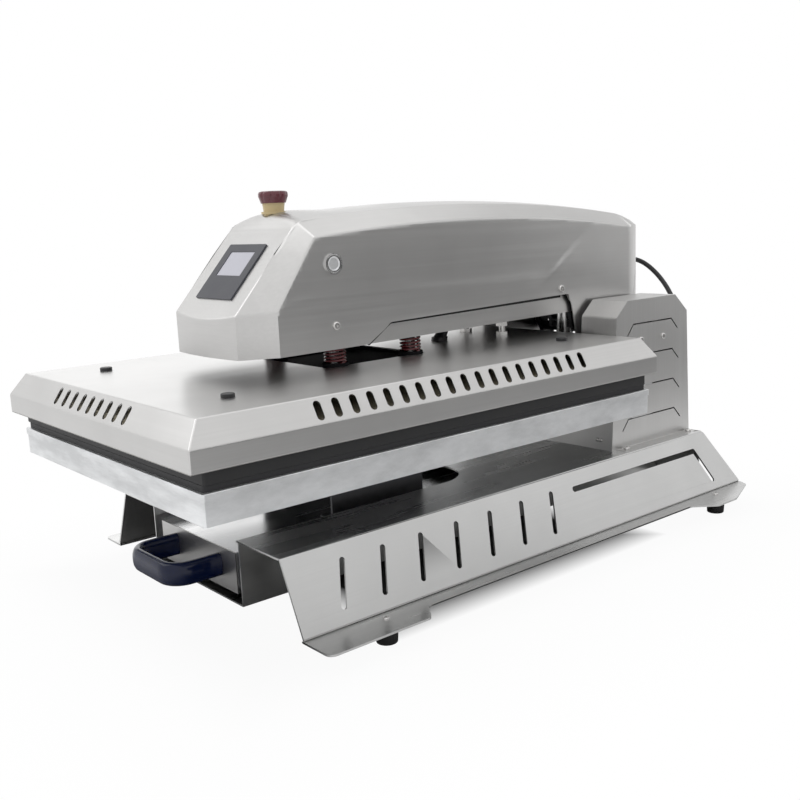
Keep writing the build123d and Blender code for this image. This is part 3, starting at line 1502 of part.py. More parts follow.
def slide_section(x0, x1, lip_x, half_height, wall, y0, y1):
    """A C-shaped rolled slide member: a web between x0 and x1 and two lips out to lip_x."""
    low = slide_mid_z - half_height
    high = slide_mid_z + half_height
    member = block(min(x0, lip_x), max(x1, lip_x), y0, y1, low, high)
    gap_low = x1 if lip_x > x0 else lip_x - 1
    gap_high = lip_x + 1 if lip_x > x0 else x0
    return member - block(gap_low, gap_high, y0 - 1, y1 + 1, low + wall, high - wall)


def slide_outer_members():
    """Outer members of the drawer slides, fixed to the channel."""
    member = slide_section(slide_outer_x - slide_sheet, slide_outer_x, slide_outer_x - 7.6,
                           slide_height / 2, slide_sheet, slide_start_y, slide_start_y + slide_length)
    return both_sides(member)


def slide_middle_members():
    """Middle members, which travel half as far as the drawer."""
    web = (slide_outer_x + slide_inner_x) / 2
    half = slide_height / 2 - slide_sheet - 0.5
    outward = slide_section(web - 0.9, web + 0.9, web + 4.6, half, slide_sheet,
                            slide_start_y, slide_start_y + slide_length)
    inward = slide_section(web - 0.9, web + 0.9, web - 4.0, half, slide_sheet,
                           slide_start_y, slide_start_y + slide_length)
    return both_sides(outward + inward)


def slide_inner_members():
    """Inner members, fixed to the drawer."""
    half = slide_height / 2 - 2 * slide_sheet - 1.2
    member = slide_section(slide_inner_x, slide_inner_x + slide_sheet, slide_inner_x + 5.0, half,
                           slide_sheet, slide_start_y, slide_start_y + drawer_length - 12.0)
    return both_sides(member)


# Actuator and cable

def actuator_body():
    """Linear actuator: lower eye, gearbox, outer tube and its motor beside it."""
    eye = bar(11.0, (-15, actuator_y, actuator_low_z), (1, 0, 0), 30)
    eye -= bar(actuator_pin_radius + running_clearance, (-16, actuator_y, actuator_low_z), (1, 0, 0), 32)
    gearbox = block(-20, 70, actuator_y - 19, actuator_y + 19, actuator_low_z + 18, actuator_low_z + 42)
    gearbox = fillet(gearbox.edges().filter_by(Axis.Z), 10.0)
    neck = block(-12, 12, actuator_y - 9, actuator_y + 9, actuator_low_z + 8, actuator_low_z + 18)
    neck -= bar(actuator_pin_radius + 3, (-16, actuator_y, actuator_low_z), (1, 0, 0), 32)
    tube = bar(actuator_body_radius, (0, actuator_y, actuator_low_z + 42), (0, 0, 1), 66)
    motor = bar(18.0, (47, actuator_y, actuator_low_z + 42), (0, 0, 1), 62)
    motor = fillet(motor.edges().sort_by(Axis.Z)[-1:], 3.0)
    bore = bar(actuator_rod_radius + running_clearance, (0, actuator_y, actuator_low_z + 52),
               (0, 0, 1), 100)
    return Pos(actuator_x, 0, 0) * (eye + gearbox + neck + tube + motor - bore)


def actuator_rod():
    """Rod of the actuator, bored across near its top, loose on the pin."""
    low = actuator_low_z + 58
    top = actuator_high_z + actuator_rod_over_pin
    rod = bar(actuator_rod_radius, (0, actuator_y, low), (0, 0, 1), top - low)
    rod = fillet(rod.edges().sort_by(Axis.Z)[-1:], 2.0)
    rod -= bar(actuator_pin_radius + open_pin_clearance, (-20, actuator_y, actuator_high_z),
               (1, 0, 0), 40)
    return Pos(actuator_x, 0, 0) * rod


def corner_radii(points):
    """The bend radius at each corner of a cable's route, as large as its runs allow."""
    radii = []
    for before, here, after in zip(points[:-2], points[1:-1], points[2:]):
        into = Vector(*here) - Vector(*before)
        out = Vector(*after) - Vector(*here)
        turn = radians(into.get_angle(out))
        radii.append(0.45 * min(into.length, out.length) / tan(turn / 2))
    return radii


def head_cable():
    """Cable from the rear of the arm over to the column."""
    radii = corner_radii(cable_route)
    path = FilletPolyline(*cable_route, radius=radii)
    section = Plane(path @ 0, z_dir=path % 0) * Circle(cable_diameter / 2)
    tube = sweep(section, path)
    print("head cable: radii", [round(radius, 1) for radius in radii],
          f"length {path.length:.0f} mm, volume ratio "
          f"{tube.volume / (pi * cable_diameter ** 2 / 4 * path.length):.4f}")
    return tube


NODES = {
    "base_deck": base_deck,
    "drawer_channel": drawer_channel,
    "rubber_feet": rubber_feet,
    "column_side_right": column_side,
    "column_side_left": lambda: column_side().mirror(Plane.YZ),
    "column_front_cover": column_front_cover,
    "column_rear_cover": column_rear_cover,
    "base_fasteners": lambda: column_screws() + foot_screws() + frame_bolts(),
    "column_cable_gland": column_gland,
    "inlet_module": inlet_module,
    "mains_switch": mains_switch,
    "pivot_frames": pivot_frames,
    "pivot_shaft": pivot_shaft,
    "shaft_collars": shaft_collars,
    "actuator_bracket": actuator_bracket,
    "actuator_lower_pin": lambda: pin_with_heads(actuator_low_z, 50.0),
    "power_relay": power_relay,
    "slide_outer_members": slide_outer_members,
    "slide_middle_members": slide_middle_members,
    "slide_inner_members": slide_inner_members,
    "drawer_box": drawer_box,
    "drawer_front": drawer_front,
    "drawer_handle": drawer_handle,
    "table_brackets": table_brackets,
    "drawer_fasteners": lambda: bracket_bolts() + handle_screws(),
    "table_body": table_body,
    "table_top": table_top,
    "silicone_pad": silicone_pad,
    "arm_cover": arm_cover,
    "arm_beam": arm_beam,
    "arm_lever": arm_lever,
    "arm_cover_screws": arm_cover_screws,
    "arm_cable_gland": arm_gland,
    "pivot_bushes": pivot_bushes,
    "actuator_upper_pin": lambda: pin_with_heads(actuator_high_z, 52.0),
    "actuator_body": actuator_body,
    "actuator_rod": actuator_rod,
    "spring_plate": spring_plate,
    "guide_bushes": guide_bushes,
    "screen_bezel": screen_bezel,
    "screen_glass": screen_glass,
    "control_board": control_board,
    "stop_collar": stop_collar,
    "stop_stem": stop_stem,
    "stop_head": stop_head,
    "button_bezels": button_bezels,
    "push_button_right": push_button,
    "push_button_left": lambda: push_button().mirror(Plane.YZ),
    "heater_cover": heater_cover,
    "cover_plugs": cover_plugs,
    "heater_plate": heater_plate,
    "heating_element": heating_element,
    "heater_insulation": insulation,
    "platen_stiffener": platen_stiffener,
    "platen_posts": lambda: guide_posts() + rear_studs(),
    "post_nuts": post_nuts,
    "spring_seats": spring_seats,
    "platen_cable_gland": platen_gland,
    "pressure_springs": pressure_springs,
    "head_cable": head_cable,
}


def solids_of(made):
    """The separate solids in what a sub-part's function returned."""
    if isinstance(made, (list, tuple)):
        return [solid for item in made for solid in item.solids()]
    return list(made.solids())


os.makedirs("parts", exist_ok=True)
for name, make in NODES.items():
    solids = [Pos(0, -model_mid_y, 0) * solid for solid in solids_of(make())]
    node = solids[0] if len(solids) == 1 else Compound(children=solids)
    export_step(node, f"parts/{name}.step")
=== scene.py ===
import json
from math import atan2, cos, pi, radians, sin

import bmesh
import bpy
from mathutils import Matrix, Vector
from mathutils.bvhtree import BVHTree
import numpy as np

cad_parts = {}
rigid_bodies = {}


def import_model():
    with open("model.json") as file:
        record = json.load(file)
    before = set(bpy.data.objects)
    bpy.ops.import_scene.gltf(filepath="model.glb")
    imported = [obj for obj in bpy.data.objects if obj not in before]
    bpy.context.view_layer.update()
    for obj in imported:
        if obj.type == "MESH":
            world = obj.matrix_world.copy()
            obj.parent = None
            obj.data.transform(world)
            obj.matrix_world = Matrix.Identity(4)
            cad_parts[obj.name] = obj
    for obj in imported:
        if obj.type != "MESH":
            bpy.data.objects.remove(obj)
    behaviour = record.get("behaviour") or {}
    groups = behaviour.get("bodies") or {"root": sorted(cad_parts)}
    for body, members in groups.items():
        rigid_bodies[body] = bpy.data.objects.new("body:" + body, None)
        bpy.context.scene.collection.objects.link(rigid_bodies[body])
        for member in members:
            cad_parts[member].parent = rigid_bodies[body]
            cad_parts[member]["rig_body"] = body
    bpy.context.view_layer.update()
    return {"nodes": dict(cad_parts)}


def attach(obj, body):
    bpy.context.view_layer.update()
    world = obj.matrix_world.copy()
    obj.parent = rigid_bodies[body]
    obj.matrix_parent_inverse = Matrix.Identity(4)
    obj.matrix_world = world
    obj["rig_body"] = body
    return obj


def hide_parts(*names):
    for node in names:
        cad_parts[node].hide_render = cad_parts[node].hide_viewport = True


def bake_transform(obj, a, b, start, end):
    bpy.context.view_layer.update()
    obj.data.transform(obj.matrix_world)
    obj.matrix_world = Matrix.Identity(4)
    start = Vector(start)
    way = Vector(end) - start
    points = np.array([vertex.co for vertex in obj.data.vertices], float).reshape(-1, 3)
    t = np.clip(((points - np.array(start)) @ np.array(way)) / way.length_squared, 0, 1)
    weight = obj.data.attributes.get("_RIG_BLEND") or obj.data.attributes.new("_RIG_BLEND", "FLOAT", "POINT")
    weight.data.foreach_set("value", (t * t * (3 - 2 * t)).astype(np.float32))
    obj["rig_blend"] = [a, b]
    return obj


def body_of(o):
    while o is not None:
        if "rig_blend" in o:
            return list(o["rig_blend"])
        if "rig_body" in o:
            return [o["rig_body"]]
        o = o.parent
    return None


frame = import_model()
bpy.ops.object.select_all(action="DESELECT")


# Camera, at the photograph's viewing angle

camera_right = Vector((0.64173, 0.76569, -0.04360)).normalized()
camera_forward = Vector((-0.75851, 0.62525, -0.18366)).normalized()
camera_right = (camera_right - camera_forward * camera_right.dot(camera_forward)).normalized()
camera_up = camera_right.cross(camera_forward)
camera_place = Vector((1.06377, -0.90027, 0.47121))
sensor_width, focal_length = 36.0, 43.624

lens = bpy.data.cameras.new("camera")
lens.sensor_width = sensor_width
lens.lens = focal_length
lens.clip_end = 50.0
camera = bpy.data.objects.new("camera", lens)
bpy.context.collection.objects.link(camera)
camera.matrix_world = Matrix((
    (camera_right.x, camera_up.x, -camera_forward.x, camera_place.x),
    (camera_right.y, camera_up.y, -camera_forward.y, camera_place.y),
    (camera_right.z, camera_up.z, -camera_forward.z, camera_place.z),
    (0, 0, 0, 1)))
bpy.context.scene.camera = camera


# What the finishes are made of

def blank_finish(name, metallic=0.0):
    """A new material, its node tree and its shader."""
    finish = bpy.data.materials.new(name)
    finish.use_nodes = True
    shader = finish.node_tree.nodes["Principled BSDF"]
    shader.inputs["Metallic"].default_value = metallic
    return finish, finish.node_tree, shader


def stretched_noise(tree, scale, detail, roughness=0.55):
    """Noise on the piece's own coordinates, with its own scale along each axis."""
    place = tree.nodes.new("ShaderNodeTexCoord")
    mapping = tree.nodes.new("ShaderNodeMapping")
    mapping.inputs["Scale"].default_value = scale
    tree.links.new(place.outputs["Object"], mapping.inputs["Vector"])
    noise = tree.nodes.new("ShaderNodeTexNoise")
    noise.inputs["Scale"].default_value = 1.0
    noise.inputs["Detail"].default_value = detail
    noise.inputs["Roughness"].default_value = roughness
    tree.links.new(mapping.outputs["Vector"], noise.inputs["Vector"])
    return noise.outputs["Fac"]


def remap(tree, value, low_in, high_in, low_out, high_out):
    """One range of numbers turned into another."""
    node = tree.nodes.new("ShaderNodeMapRange")
    node.inputs["From Min"].default_value = low_in
    node.inputs["From Max"].default_value = high_in
    node.inputs["To Min"].default_value = low_out
    node.inputs["To Max"].default_value = high_out
    tree.links.new(value, node.inputs["Value"])
    return node.outputs["Result"]


def calculated(tree, operation, *values):
    """A sum on one or two values, each a number or another node's output."""
    node = tree.nodes.new("ShaderNodeMath")
    node.operation = operation
    for value, socket in zip(values, node.inputs):
        if isinstance(value, float):
            socket.default_value = value
        else:
            tree.links.new(value, socket)
    return node.outputs["Value"]


def split_coordinates(tree, kind):
    """The piece's own Object or Normal coordinates, as three separate values."""
    place = tree.nodes.new("ShaderNodeTexCoord")
    split = tree.nodes.new("ShaderNodeSeparateXYZ")
    tree.links.new(place.outputs[kind], split.inputs["Vector"])
    return split.outputs


def facing_share(tree, axis):
    """1 on faces that point along an axis of the piece, and 0 on faces that run along it."""
    normal = split_coordinates(tree, "Normal")
    return remap(tree, calculated(tree, "ABSOLUTE", normal[axis.upper()]), 0.72, 0.80, 0, 1)


def blend_values(tree, share, low, high):
    """A value between two, by a share."""
    mix = tree.nodes.new("ShaderNodeMix")
    mix.data_type = "FLOAT"
    tree.links.new(share, mix.inputs[0])
    tree.links.new(low, mix.inputs[2])
    tree.links.new(high, mix.inputs[3])
    return mix.outputs[0]


def blend_colours(tree, share, low, high):
    """A colour between two, by a share."""
    mix = tree.nodes.new("ShaderNodeMix")
    mix.data_type = "RGBA"
    tree.links.new(share, mix.inputs["Factor"])
    for socket, colour in (("A", low), ("B", high)):
        target = [s for s in mix.inputs if s.name == socket and s.type == "RGBA"][0]
        if isinstance(colour, tuple):
            target.default_value = (*colour, 1.0)
        else:
            tree.links.new(colour, target)
    return [s for s in mix.outputs if s.type == "RGBA"][0]


def shaded(colour, factor):
    """A colour made darker or lighter by a factor."""
    return tuple(min(1.0, part * factor) for part in colour)


def mottled(tree, pattern, colour, contrast):
    """A colour that a pattern makes a little darker and a little lighter."""
    return blend_colours(tree, remap(tree, pattern, 0.3, 0.7, 0, 1),
                         shaded(colour, 1 - contrast), shaded(colour, 1 + contrast))


def add_bump(tree, shader, height, strength, distance):
    """Relief on the surface from a height."""
    bump = tree.nodes.new("ShaderNodeBump")
    bump.inputs["Strength"].default_value = strength
    bump.inputs["Distance"].default_value = distance
    tree.links.new(height, bump.inputs["Height"])
    tree.links.new(bump.outputs["Normal"], shader.inputs["Normal"])


def lengthwise(grain, along, across):
    """A noise scale for each axis, with a value of its own along the grain."""
    return tuple(along if axis == grain else across for axis in "xyz")


# Kinds of finish

def brushed_metal(name, colour, grain, roughness, smear=0.0):
    """Satin sheet brushed along one axis, across on its ends, with faint broad clouding."""
    finish, tree, shader = blank_finish(name, metallic=1.0)
    end_grain = {"x": "z", "y": "x", "z": "x"}[grain]
    ends = facing_share(tree, grain)

    def brushing(fineness, detail):
        both = [stretched_noise(tree, lengthwise(way, 9 * fineness, 1500 * fineness), detail)
                for way in (grain, end_grain)]
        return blend_values(tree, ends, *both)

    scratches = brushing(1.0, 3.0)
    streaks = brushing(0.22, 4.0)
    clouds = stretched_noise(tree, (6, 6, 6), 3.0)
    base = mottled(tree, streaks, colour, 0.03)
    clouded = remap(tree, clouds, 0.40, 0.72, 0, 0.9)
    tree.links.new(blend_colours(tree, clouded, base, shaded(colour, 0.90)),
                   shader.inputs["Base Color"])
    rough = remap(tree, streaks, 0.25, 0.75, roughness - 0.025, roughness + 0.03)
    if smear:
        wiping = stretched_noise(tree, lengthwise(grain, 4, 26), 5.0, 0.6)
        level = facing_share(tree, "z")
        wiped = remap(tree, wiping, 0.42, 0.60, -smear, smear)
        rough = calculated(tree, "ADD", rough, calculated(tree, "MULTIPLY", wiped, level))
    tree.links.new(rough, shader.inputs["Roughness"])
    add_bump(tree, shader, scratches, 0.10, 0.00005)
    return finish


def plain_metal(name, colour, roughness):
    """Machined or plated metal with slightly uneven colour and gloss."""
    finish, tree, shader = blank_finish(name, metallic=1.0)
    clouds = stretched_noise(tree, (90, 90, 90), 4.0)
    tree.links.new(mottled(tree, clouds, colour, 0.10), shader.inputs["Base Color"])
    tree.links.new(remap(tree, clouds, 0.3, 0.7, roughness - 0.05, roughness + 0.07),
                   shader.inputs["Roughness"])
    grit = stretched_noise(tree, (1900, 1900, 1900), 2.0)
    add_bump(tree, shader, grit, 0.15, 0.00004)
    return finish


def stained_aluminium(name, colour, roughness):
    """Raw milled aluminium with pale stains and dull patches."""
    finish, tree, shader = blank_finish(name, metallic=0.85)
    stains = stretched_noise(tree, (9, 16, 40), 6.0, 0.62)
    milling = stretched_noise(tree, (160, 3000, 3000), 3.0)
    base = blend_colours(tree, remap(tree, stains, 0.36, 0.66, 0, 1), shaded(colour, 0.80),
                         shaded(colour, 1.10))
    tree.links.new(base, shader.inputs["Base Color"])
    tree.links.new(remap(tree, stains, 0.3, 0.7, roughness + 0.1, roughness - 0.07),
                   shader.inputs["Roughness"])
    add_bump(tree, shader, milling, 0.2, 0.00006)
    return finish


def moulded(name, colour, roughness, grain, relief, shade, coat=0.0):
    """Moulded plastic, rubber or paint with a fine surface grain and slight unevenness."""
    finish, tree, shader = blank_finish(name)
    clouds = stretched_noise(tree, (24, 24, 24), 4.0)
    tree.links.new(mottled(tree, clouds, colour, shade), shader.inputs["Base Color"])
    tree.links.new(remap(tree, clouds, 0.3, 0.7, roughness - 0.04, roughness + 0.06),
                   shader.inputs["Roughness"])
    shader.inputs["Coat Weight"].default_value = coat
    shader.inputs["Coat Roughness"].default_value = 0.08
    skin = stretched_noise(tree, (grain, grain, grain), 3.0)
    add_bump(tree, shader, skin, relief, 0.00008)
    return finish


def set_shine(finish, level):
    """How strongly a finish that isn't metal mirrors what is round it."""
    shader = finish.node_tree.nodes["Principled BSDF"]
    shader.inputs["Specular IOR Level"].default_value = level


# Finishes of this machine

satin = (0.585, 0.580, 0.573)
arm_steel = brushed_metal("arm brushed steel", satin, "y", 0.34)
column_steel = brushed_metal("column brushed steel", satin, "z", 0.34)
cover_steel = brushed_metal("heater cover brushed steel", satin, "y", 0.31)
base_steel = brushed_metal("base stainless", (0.60, 0.60, 0.595), "y", 0.30, smear=0.05)
finishes = {
    "brushed_sheet": arm_steel,
    "base_stainless": base_steel,
    "slide_zinc": plain_metal("zinc plate", (0.55, 0.56, 0.58), 0.32),
    "screw_steel": plain_metal("screw steel", (0.62, 0.61, 0.60), 0.22),
    "ground_steel": plain_metal("ground steel", (0.68, 0.68, 0.68), 0.16),
    "dark_steel": plain_metal("dark steel", (0.09, 0.09, 0.095), 0.42),
    "drawer_steel": brushed_metal("drawer steel", (0.90, 0.90, 0.90), "y", 0.24, smear=0.03),
    "plate_coating": moulded("plate coating", (0.014, 0.014, 0.015), 0.58, 700, 0.2, 0.2),
    "plain_aluminium": stained_aluminium("milled aluminium", (0.78, 0.79, 0.80), 0.40),
    "bronze": plain_metal("bronze", (0.45, 0.26, 0.10), 0.35),
    "handle_blue": moulded("navy enamel", (0.003, 0.008, 0.040), 0.16, 160, 0.03, 0.15, 0.15),
    "stop_red": moulded("stop red", (0.135, 0.022, 0.034), 0.30, 700, 0.10, 0.08, 0.3),
    "stop_yellow": moulded("stop yellow", (0.66, 0.53, 0.29), 0.42, 700, 0.12, 0.06),
    "black_plastic": moulded("black plastic", (0.018, 0.018, 0.020), 0.45, 1200, 0.3, 0.2),
    "bezel_grey": moulded("bezel grey", (0.050, 0.052, 0.064), 0.45, 1500, 0.2, 0.05),
    "board_green": moulded("board green", (0.02, 0.10, 0.04), 0.40, 400, 0.3, 0.2),
    "screen_glass": moulded("screen glass", (0.52, 0.52, 0.60), 0.12, 60, 0.02, 0.03, 0.8),
    "foot_rubber": moulded("foot rubber", (0.016, 0.016, 0.016), 0.70, 900, 0.5, 0.25),
    "silicone": moulded("black silicone", (0.022, 0.022, 0.024), 0.62, 700, 0.4, 0.2),
    "cable_black": moulded("cable black", (0.014, 0.014, 0.015), 0.42, 700, 0.2, 0.2),
    "spring_red": moulded("spring red", (0.11, 0.007, 0.011), 0.26, 500, 0.1, 0.1, 0.4),
    "mineral_wool": moulded("mineral wool", (0.55, 0.50, 0.38), 0.95, 300, 1.0, 0.25),
}
set_shine(finishes["handle_blue"], 0.25)
own_finish = {
    "heater_cover": cover_steel,
    "column_side_right": column_steel,
    "column_side_left": column_steel,
    "column_front_cover": column_steel,
    "column_rear_cover": column_steel,
}
for name, node in frame["nodes"].items():
    slot_name = node.data.materials[0].name
    node.material_slots[0].material = own_finish.get(name, finishes[slot_name])


# Working on pieces

def work_on(piece):
    """Makes a piece the only one selected."""
    bpy.ops.object.select_all(action="DESELECT")
    piece.select_set(True)
    bpy.context.view_layer.objects.active = piece


def start_editing(piece):
    """Opens a piece's mesh in edit mode."""
    work_on(piece)
    bpy.ops.object.mode_set(mode="EDIT")
    bpy.ops.mesh.select_mode(type="VERT")


def stop_editing():
    """Closes the mesh that is open in edit mode."""
    bpy.ops.object.mode_set(mode="OBJECT")


def pick(piece, kind, test):
    """Selects the corners, edges or faces that pass a test, and no others."""
    bpy.ops.mesh.select_all(action="DESELECT")
    bpy.ops.mesh.select_mode(type={"verts": "VERT", "edges": "EDGE", "faces": "FACE"}[kind])
    mesh = bmesh.from_edit_mesh(piece.data)
    for item in getattr(mesh, kind):
        if test(item):
            item.select_set(True)
    bmesh.update_edit_mesh(piece.data)


def middle_of(line):
    """The middle of an edge."""
    return (line.verts[0].co + line.verts[1].co) / 2


def move_corners(piece, change):
    """Applies one rule to every corner of the mesh that is open."""
    mesh = bmesh.from_edit_mesh(piece.data)
    for corner in mesh.verts:
        change(corner)
    bmesh.update_edit_mesh(piece.data)


def cut_across(piece, test, axis, first, spacing, count):
    """Cuts the faces that pass a test at even places along an axis."""
    way = Vector([float(name == axis) for name in "xyz"])
    for step in range(count):
        pick(piece, "faces", test)
        bpy.ops.mesh.bisect(plane_co=way * (first + step * spacing), plane_no=way)


def round_bends(piece, test, radius, clamp):
    """Rounds the edges that pass a test."""
    pick(piece, "edges", test)
    bpy.ops.mesh.bevel(offset=radius, segments=3, profile=0.5, affect="EDGES",
                       clamp_overlap=clamp)


def extrude_by(x, y, z):
    """Draws new faces out of the edges that are selected."""
    bpy.ops.mesh.extrude_edges_move(TRANSFORM_OT_translate={"value": (x, y, z)})


def face_outwards():
    """Turns all faces of the mesh that is open outwards."""
    bpy.ops.mesh.select_all(action="SELECT")
    bpy.ops.mesh.normals_make_consistent(inside=False)


def finish_with(piece, kind, **settings):
    """A modifier, set and applied."""
    work_on(piece)
    modifier = piece.modifiers.new(kind.lower(), kind)
    for name, value in settings.items():
        setattr(modifier, name, value)
    bpy.ops.object.modifier_apply(modifier=modifier.name)


def smooth_flats(piece, angle=28):
    """Smooth over small bends, with flat faces kept flat beside them."""
    work_on(piece)
    bpy.ops.object.shade_smooth_by_angle(angle=radians(angle))
    finish_with(piece, "WEIGHTED_NORMAL", keep_sharp=True, weight=80)


def merged_copy(node_name, name):
    """A copy of a CAD node's mesh with the corners of its triangles joined."""
    piece = bpy.data.objects.new(name, frame["nodes"][node_name].data.copy())
    bpy.context.collection.objects.link(piece)
    work_on(piece)
    bpy.ops.mesh.customdata_custom_splitnormals_clear()
    start_editing(piece)
    bpy.ops.mesh.select_all(action="SELECT")
    bpy.ops.mesh.remove_doubles(threshold=0.000005)
    face_outwards()
    stop_editing()
    return piece


def join_faces(piece):
    """Faces that lie in one plane become one."""
    start_editing(piece)
    bpy.ops.mesh.select_all(action="SELECT")
    bpy.ops.mesh.dissolve_limited(angle_limit=radians(0.3))
    stop_editing()


def join_pieces(pieces, name):
    """Several pieces made into one."""
    work_on(pieces[0])
    for piece in pieces:
        piece.select_set(True)
    bpy.ops.object.join()
    pieces[0].name = name
    return pieces[0]


def four_cornered(corners):
    """A flat piece from four corners, given row by row."""
    bpy.ops.object.select_all(action="DESELECT")
    bpy.ops.mesh.primitive_plane_add(size=1.0, location=(0, 0, 0))
    piece = bpy.context.object
    for vertex, corner in zip(piece.data.vertices, corners):
        vertex.co = corner
    return piece


def move_to(piece, place, turn=None):
    """Moves a piece's mesh, so that its object stays at the origin."""
    matrix = Matrix.Translation(place)
    if turn:
        matrix = matrix @ turn
    piece.data.transform(matrix)


def give_finish(piece, finish):
    """One finish all over a piece."""
    piece.data.materials.clear()
    piece.data.materials.append(finish)


def put(piece, body, slot, *nodes, finish=None):
    """The piece gets its finish, moves with its body and stands for its CAD nodes."""
    give_finish(piece, finish or finishes[slot])
    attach(piece, body)
    if nodes:
        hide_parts(*nodes)


# Head cable

route = [(0.038, 0.451, 0.388), (0.038, 0.471, 0.388), (0.047, 0.492, 0.380),
         (0.065, 0.503, 0.361), (0.086, 0.503, 0.338), (0.106, 0.494, 0.315),
         (0.119, 0.473, 0.299), (0.119, 0.451, 0.299)]
cable_radius = 0.004


def route_curve(name, points):
    """A smooth open spline with the route's points as its control points."""
    curve = bpy.data.curves.new(name, "CURVE")
    curve.dimensions = "3D"
    spline = curve.splines.new("NURBS")
    spline.points.add(len(points) - 1)
    for point, place in zip(spline.points, points):
        point.co = (*place, 1.0)
    spline.order_u = 3
    spline.use_endpoint_u = True
    spline.resolution_u = 8
    curve.resolution_u = 8
    return curve


def mesh_of(curve):
    """The mesh that a curve gives: its line, or its tube where it has a bevel."""
    holder = bpy.data.objects.new("route", curve)
    bpy.context.collection.objects.link(holder)
    bpy.context.view_layer.update()
    mesh = bpy.data.meshes.new_from_object(holder)
    bpy.data.objects.remove(holder)
    return mesh


def followed_points(curve):
    """The points of a curve's own line, read from its mesh."""
    line = mesh_of(curve)
    points = [tuple(vertex.co) for vertex in line.vertices]
    bpy.data.meshes.remove(line)
    return points


def tube_along(name, curve, radius, sides=4):
    """A closed round tube along a curve, as a mesh."""
    curve.bevel_depth = radius
    curve.bevel_resolution = sides
    curve.use_fill_caps = True
    mesh = mesh_of(curve)
    tube = bpy.data.objects.new(name, mesh)
    bpy.context.collection.objects.link(tube)
    mesh.polygons.foreach_set("use_smooth", [True] * len(mesh.polygons))
    return tube


cable_path = followed_points(route_curve("cable line", route))
cable = tube_along("head_cable_sleeve", route_curve("cable sleeve", route), cable_radius)
give_finish(cable, finishes["cable_black"])
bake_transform(cable, "base", "arm", start=(0.119, 0.451, 0.299), end=(0.038, 0.451, 0.388))
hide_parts("head_cable")


# Sheet metal with round bends

least_flat_area = 0.0008
least_bend_angle = radians(9)


def folded_sheet(node_name, name, slot, fold, edge=0.0004, finish=None, clamp=False):
    """A sheet-metal node with round bends and finely broken cut edges."""
    piece = merged_copy(node_name, name)
    join_faces(piece)

    def is_bend(line):
        return (len(line.link_faces) == 2 and line.calc_face_angle() > least_bend_angle
                and min(face.calc_area() for face in line.link_faces) > least_flat_area)

    start_editing(piece)
    round_bends(piece, is_bend, fold, clamp)
    stop_editing()
    if edge:
        finish_with(piece, "BEVEL", width=edge, segments=1, limit_method="ANGLE",
                    angle_limit=radians(42), use_clamp_overlap=True)
    smooth_flats(piece)
    body = body_of(frame["nodes"][node_name])[0]
    put(piece, body, slot, node_name, finish=finish)


folded_sheet("heater_cover", "heater_hood", "brushed_sheet", 0.0016, finish=cover_steel)
folded_sheet("base_deck", "base_deck_sheet", "base_stainless", 0.0020)
folded_sheet("drawer_channel", "drawer_channel_sheet", "base_stainless", 0.0010, edge=0,
             clamp=True)
for side in ("right", "left"):
    folded_sheet("column_side_" + side, "column_side_sheet_" + side, "brushed_sheet", 0.0008,
                 finish=column_steel)
folded_sheet("column_front_cover", "column_front_sheet", "brushed_sheet", 0.0025,
             finish=column_steel)
folded_sheet("column_rear_cover", "column_rear_sheet", "brushed_sheet", 0.0025,
             finish=column_steel)
folded_sheet("table_body", "table_casting", "plain_aluminium", 0.0008, edge=0)
folded_sheet("table_top", "table_plate", "plain_aluminium", 0.0010, edge=0)
folded_sheet("drawer_box", "drawer_tray", "drawer_steel", 0.0014)
folded_sheet("arm_beam", "arm_pan", "brushed_sheet", 0.0016)


# Lines and curves of the arm cover, in millimetres: along is from the machine's front

front_to_origin = 490
top_half_width = 73.4
panel_along, panel_height, panel_slope = 257.7, 474.1, 1.1212
panel_dome, dome_start, dome_end = 10, 247, 262
arc_along, arc_height, arc_radius = 523.57, -2145.56, 2633.12
crown_dome, front_dome = 6.2, 4.6
nose_line = ((207.3, 370.0), (285.5, 389.5))
long_line = ((237.3, 374.3), (660.6, 377.0))
bulge_along, bulge_height, bulge_slope, bulge_end, bulge_top = 707.4, 395.9, 1.385, 869, 456
edge_front, edge_full, edge_rear, edge_length = 366, 376, 724, 339
edge_lift, edge_more_lift = 1.6, 5.0


def from_front(y):
    """Millimetres along the arm from the machine's front."""
    return y * 1000 + front_to_origin


def fade(value, start, end):
    """0 before start, 1 after end, and smooth between."""
    share = min(1.0, max(0.0, (value - start) / (end - start)))
    return share * share * (3 - 2 * share)


def ridge(along, height, line, above, below, size):
    """How far a pressed ridge stands out: it fades out over a reach above and below its line."""
    (y0, z0), (y1, z1) = line
    over = height - (z0 + (along - y0) * (z1 - z0) / (y1 - y0))
    if over >= 0:
        return size * max(0.0, 1 - over / above)
    return size * max(0.0, 1 + over / below)


def side_relief(along, height):
    """How far the arm's side stands out: a nose ridge, a long ridge and the rear's bulge."""
    nose_ridge = ridge(along, height, nose_line, above=9, below=46, size=0.6)
    nose_ridge *= 1 - fade(along, 235, 305)
    long_ridge = ridge(along, height, long_line, above=30 - 17 * fade(along, 330, 450),
                       below=44, size=0.25 + 0.55 * fade(along, 330, 470))
    long_ridge *= fade(along, 215, 250) * (1 - fade(along, 640, 700))
    crease = bulge_along + (height - bulge_height) * bulge_slope
    before = along - crease
    if before < 0:
        bulge = max(0.0, 1 + before / (11 - 8 * fade(height, 396, 452)))
    else:
        bulge = max(0.0, 1 - before / (bulge_end - crease))
    bulge *= 1.6 * fade(height, 345, 392) * min(1.0, max(0.0, (bulge_top - height) / 56))
    return max(nose_ridge, long_ridge, bulge)


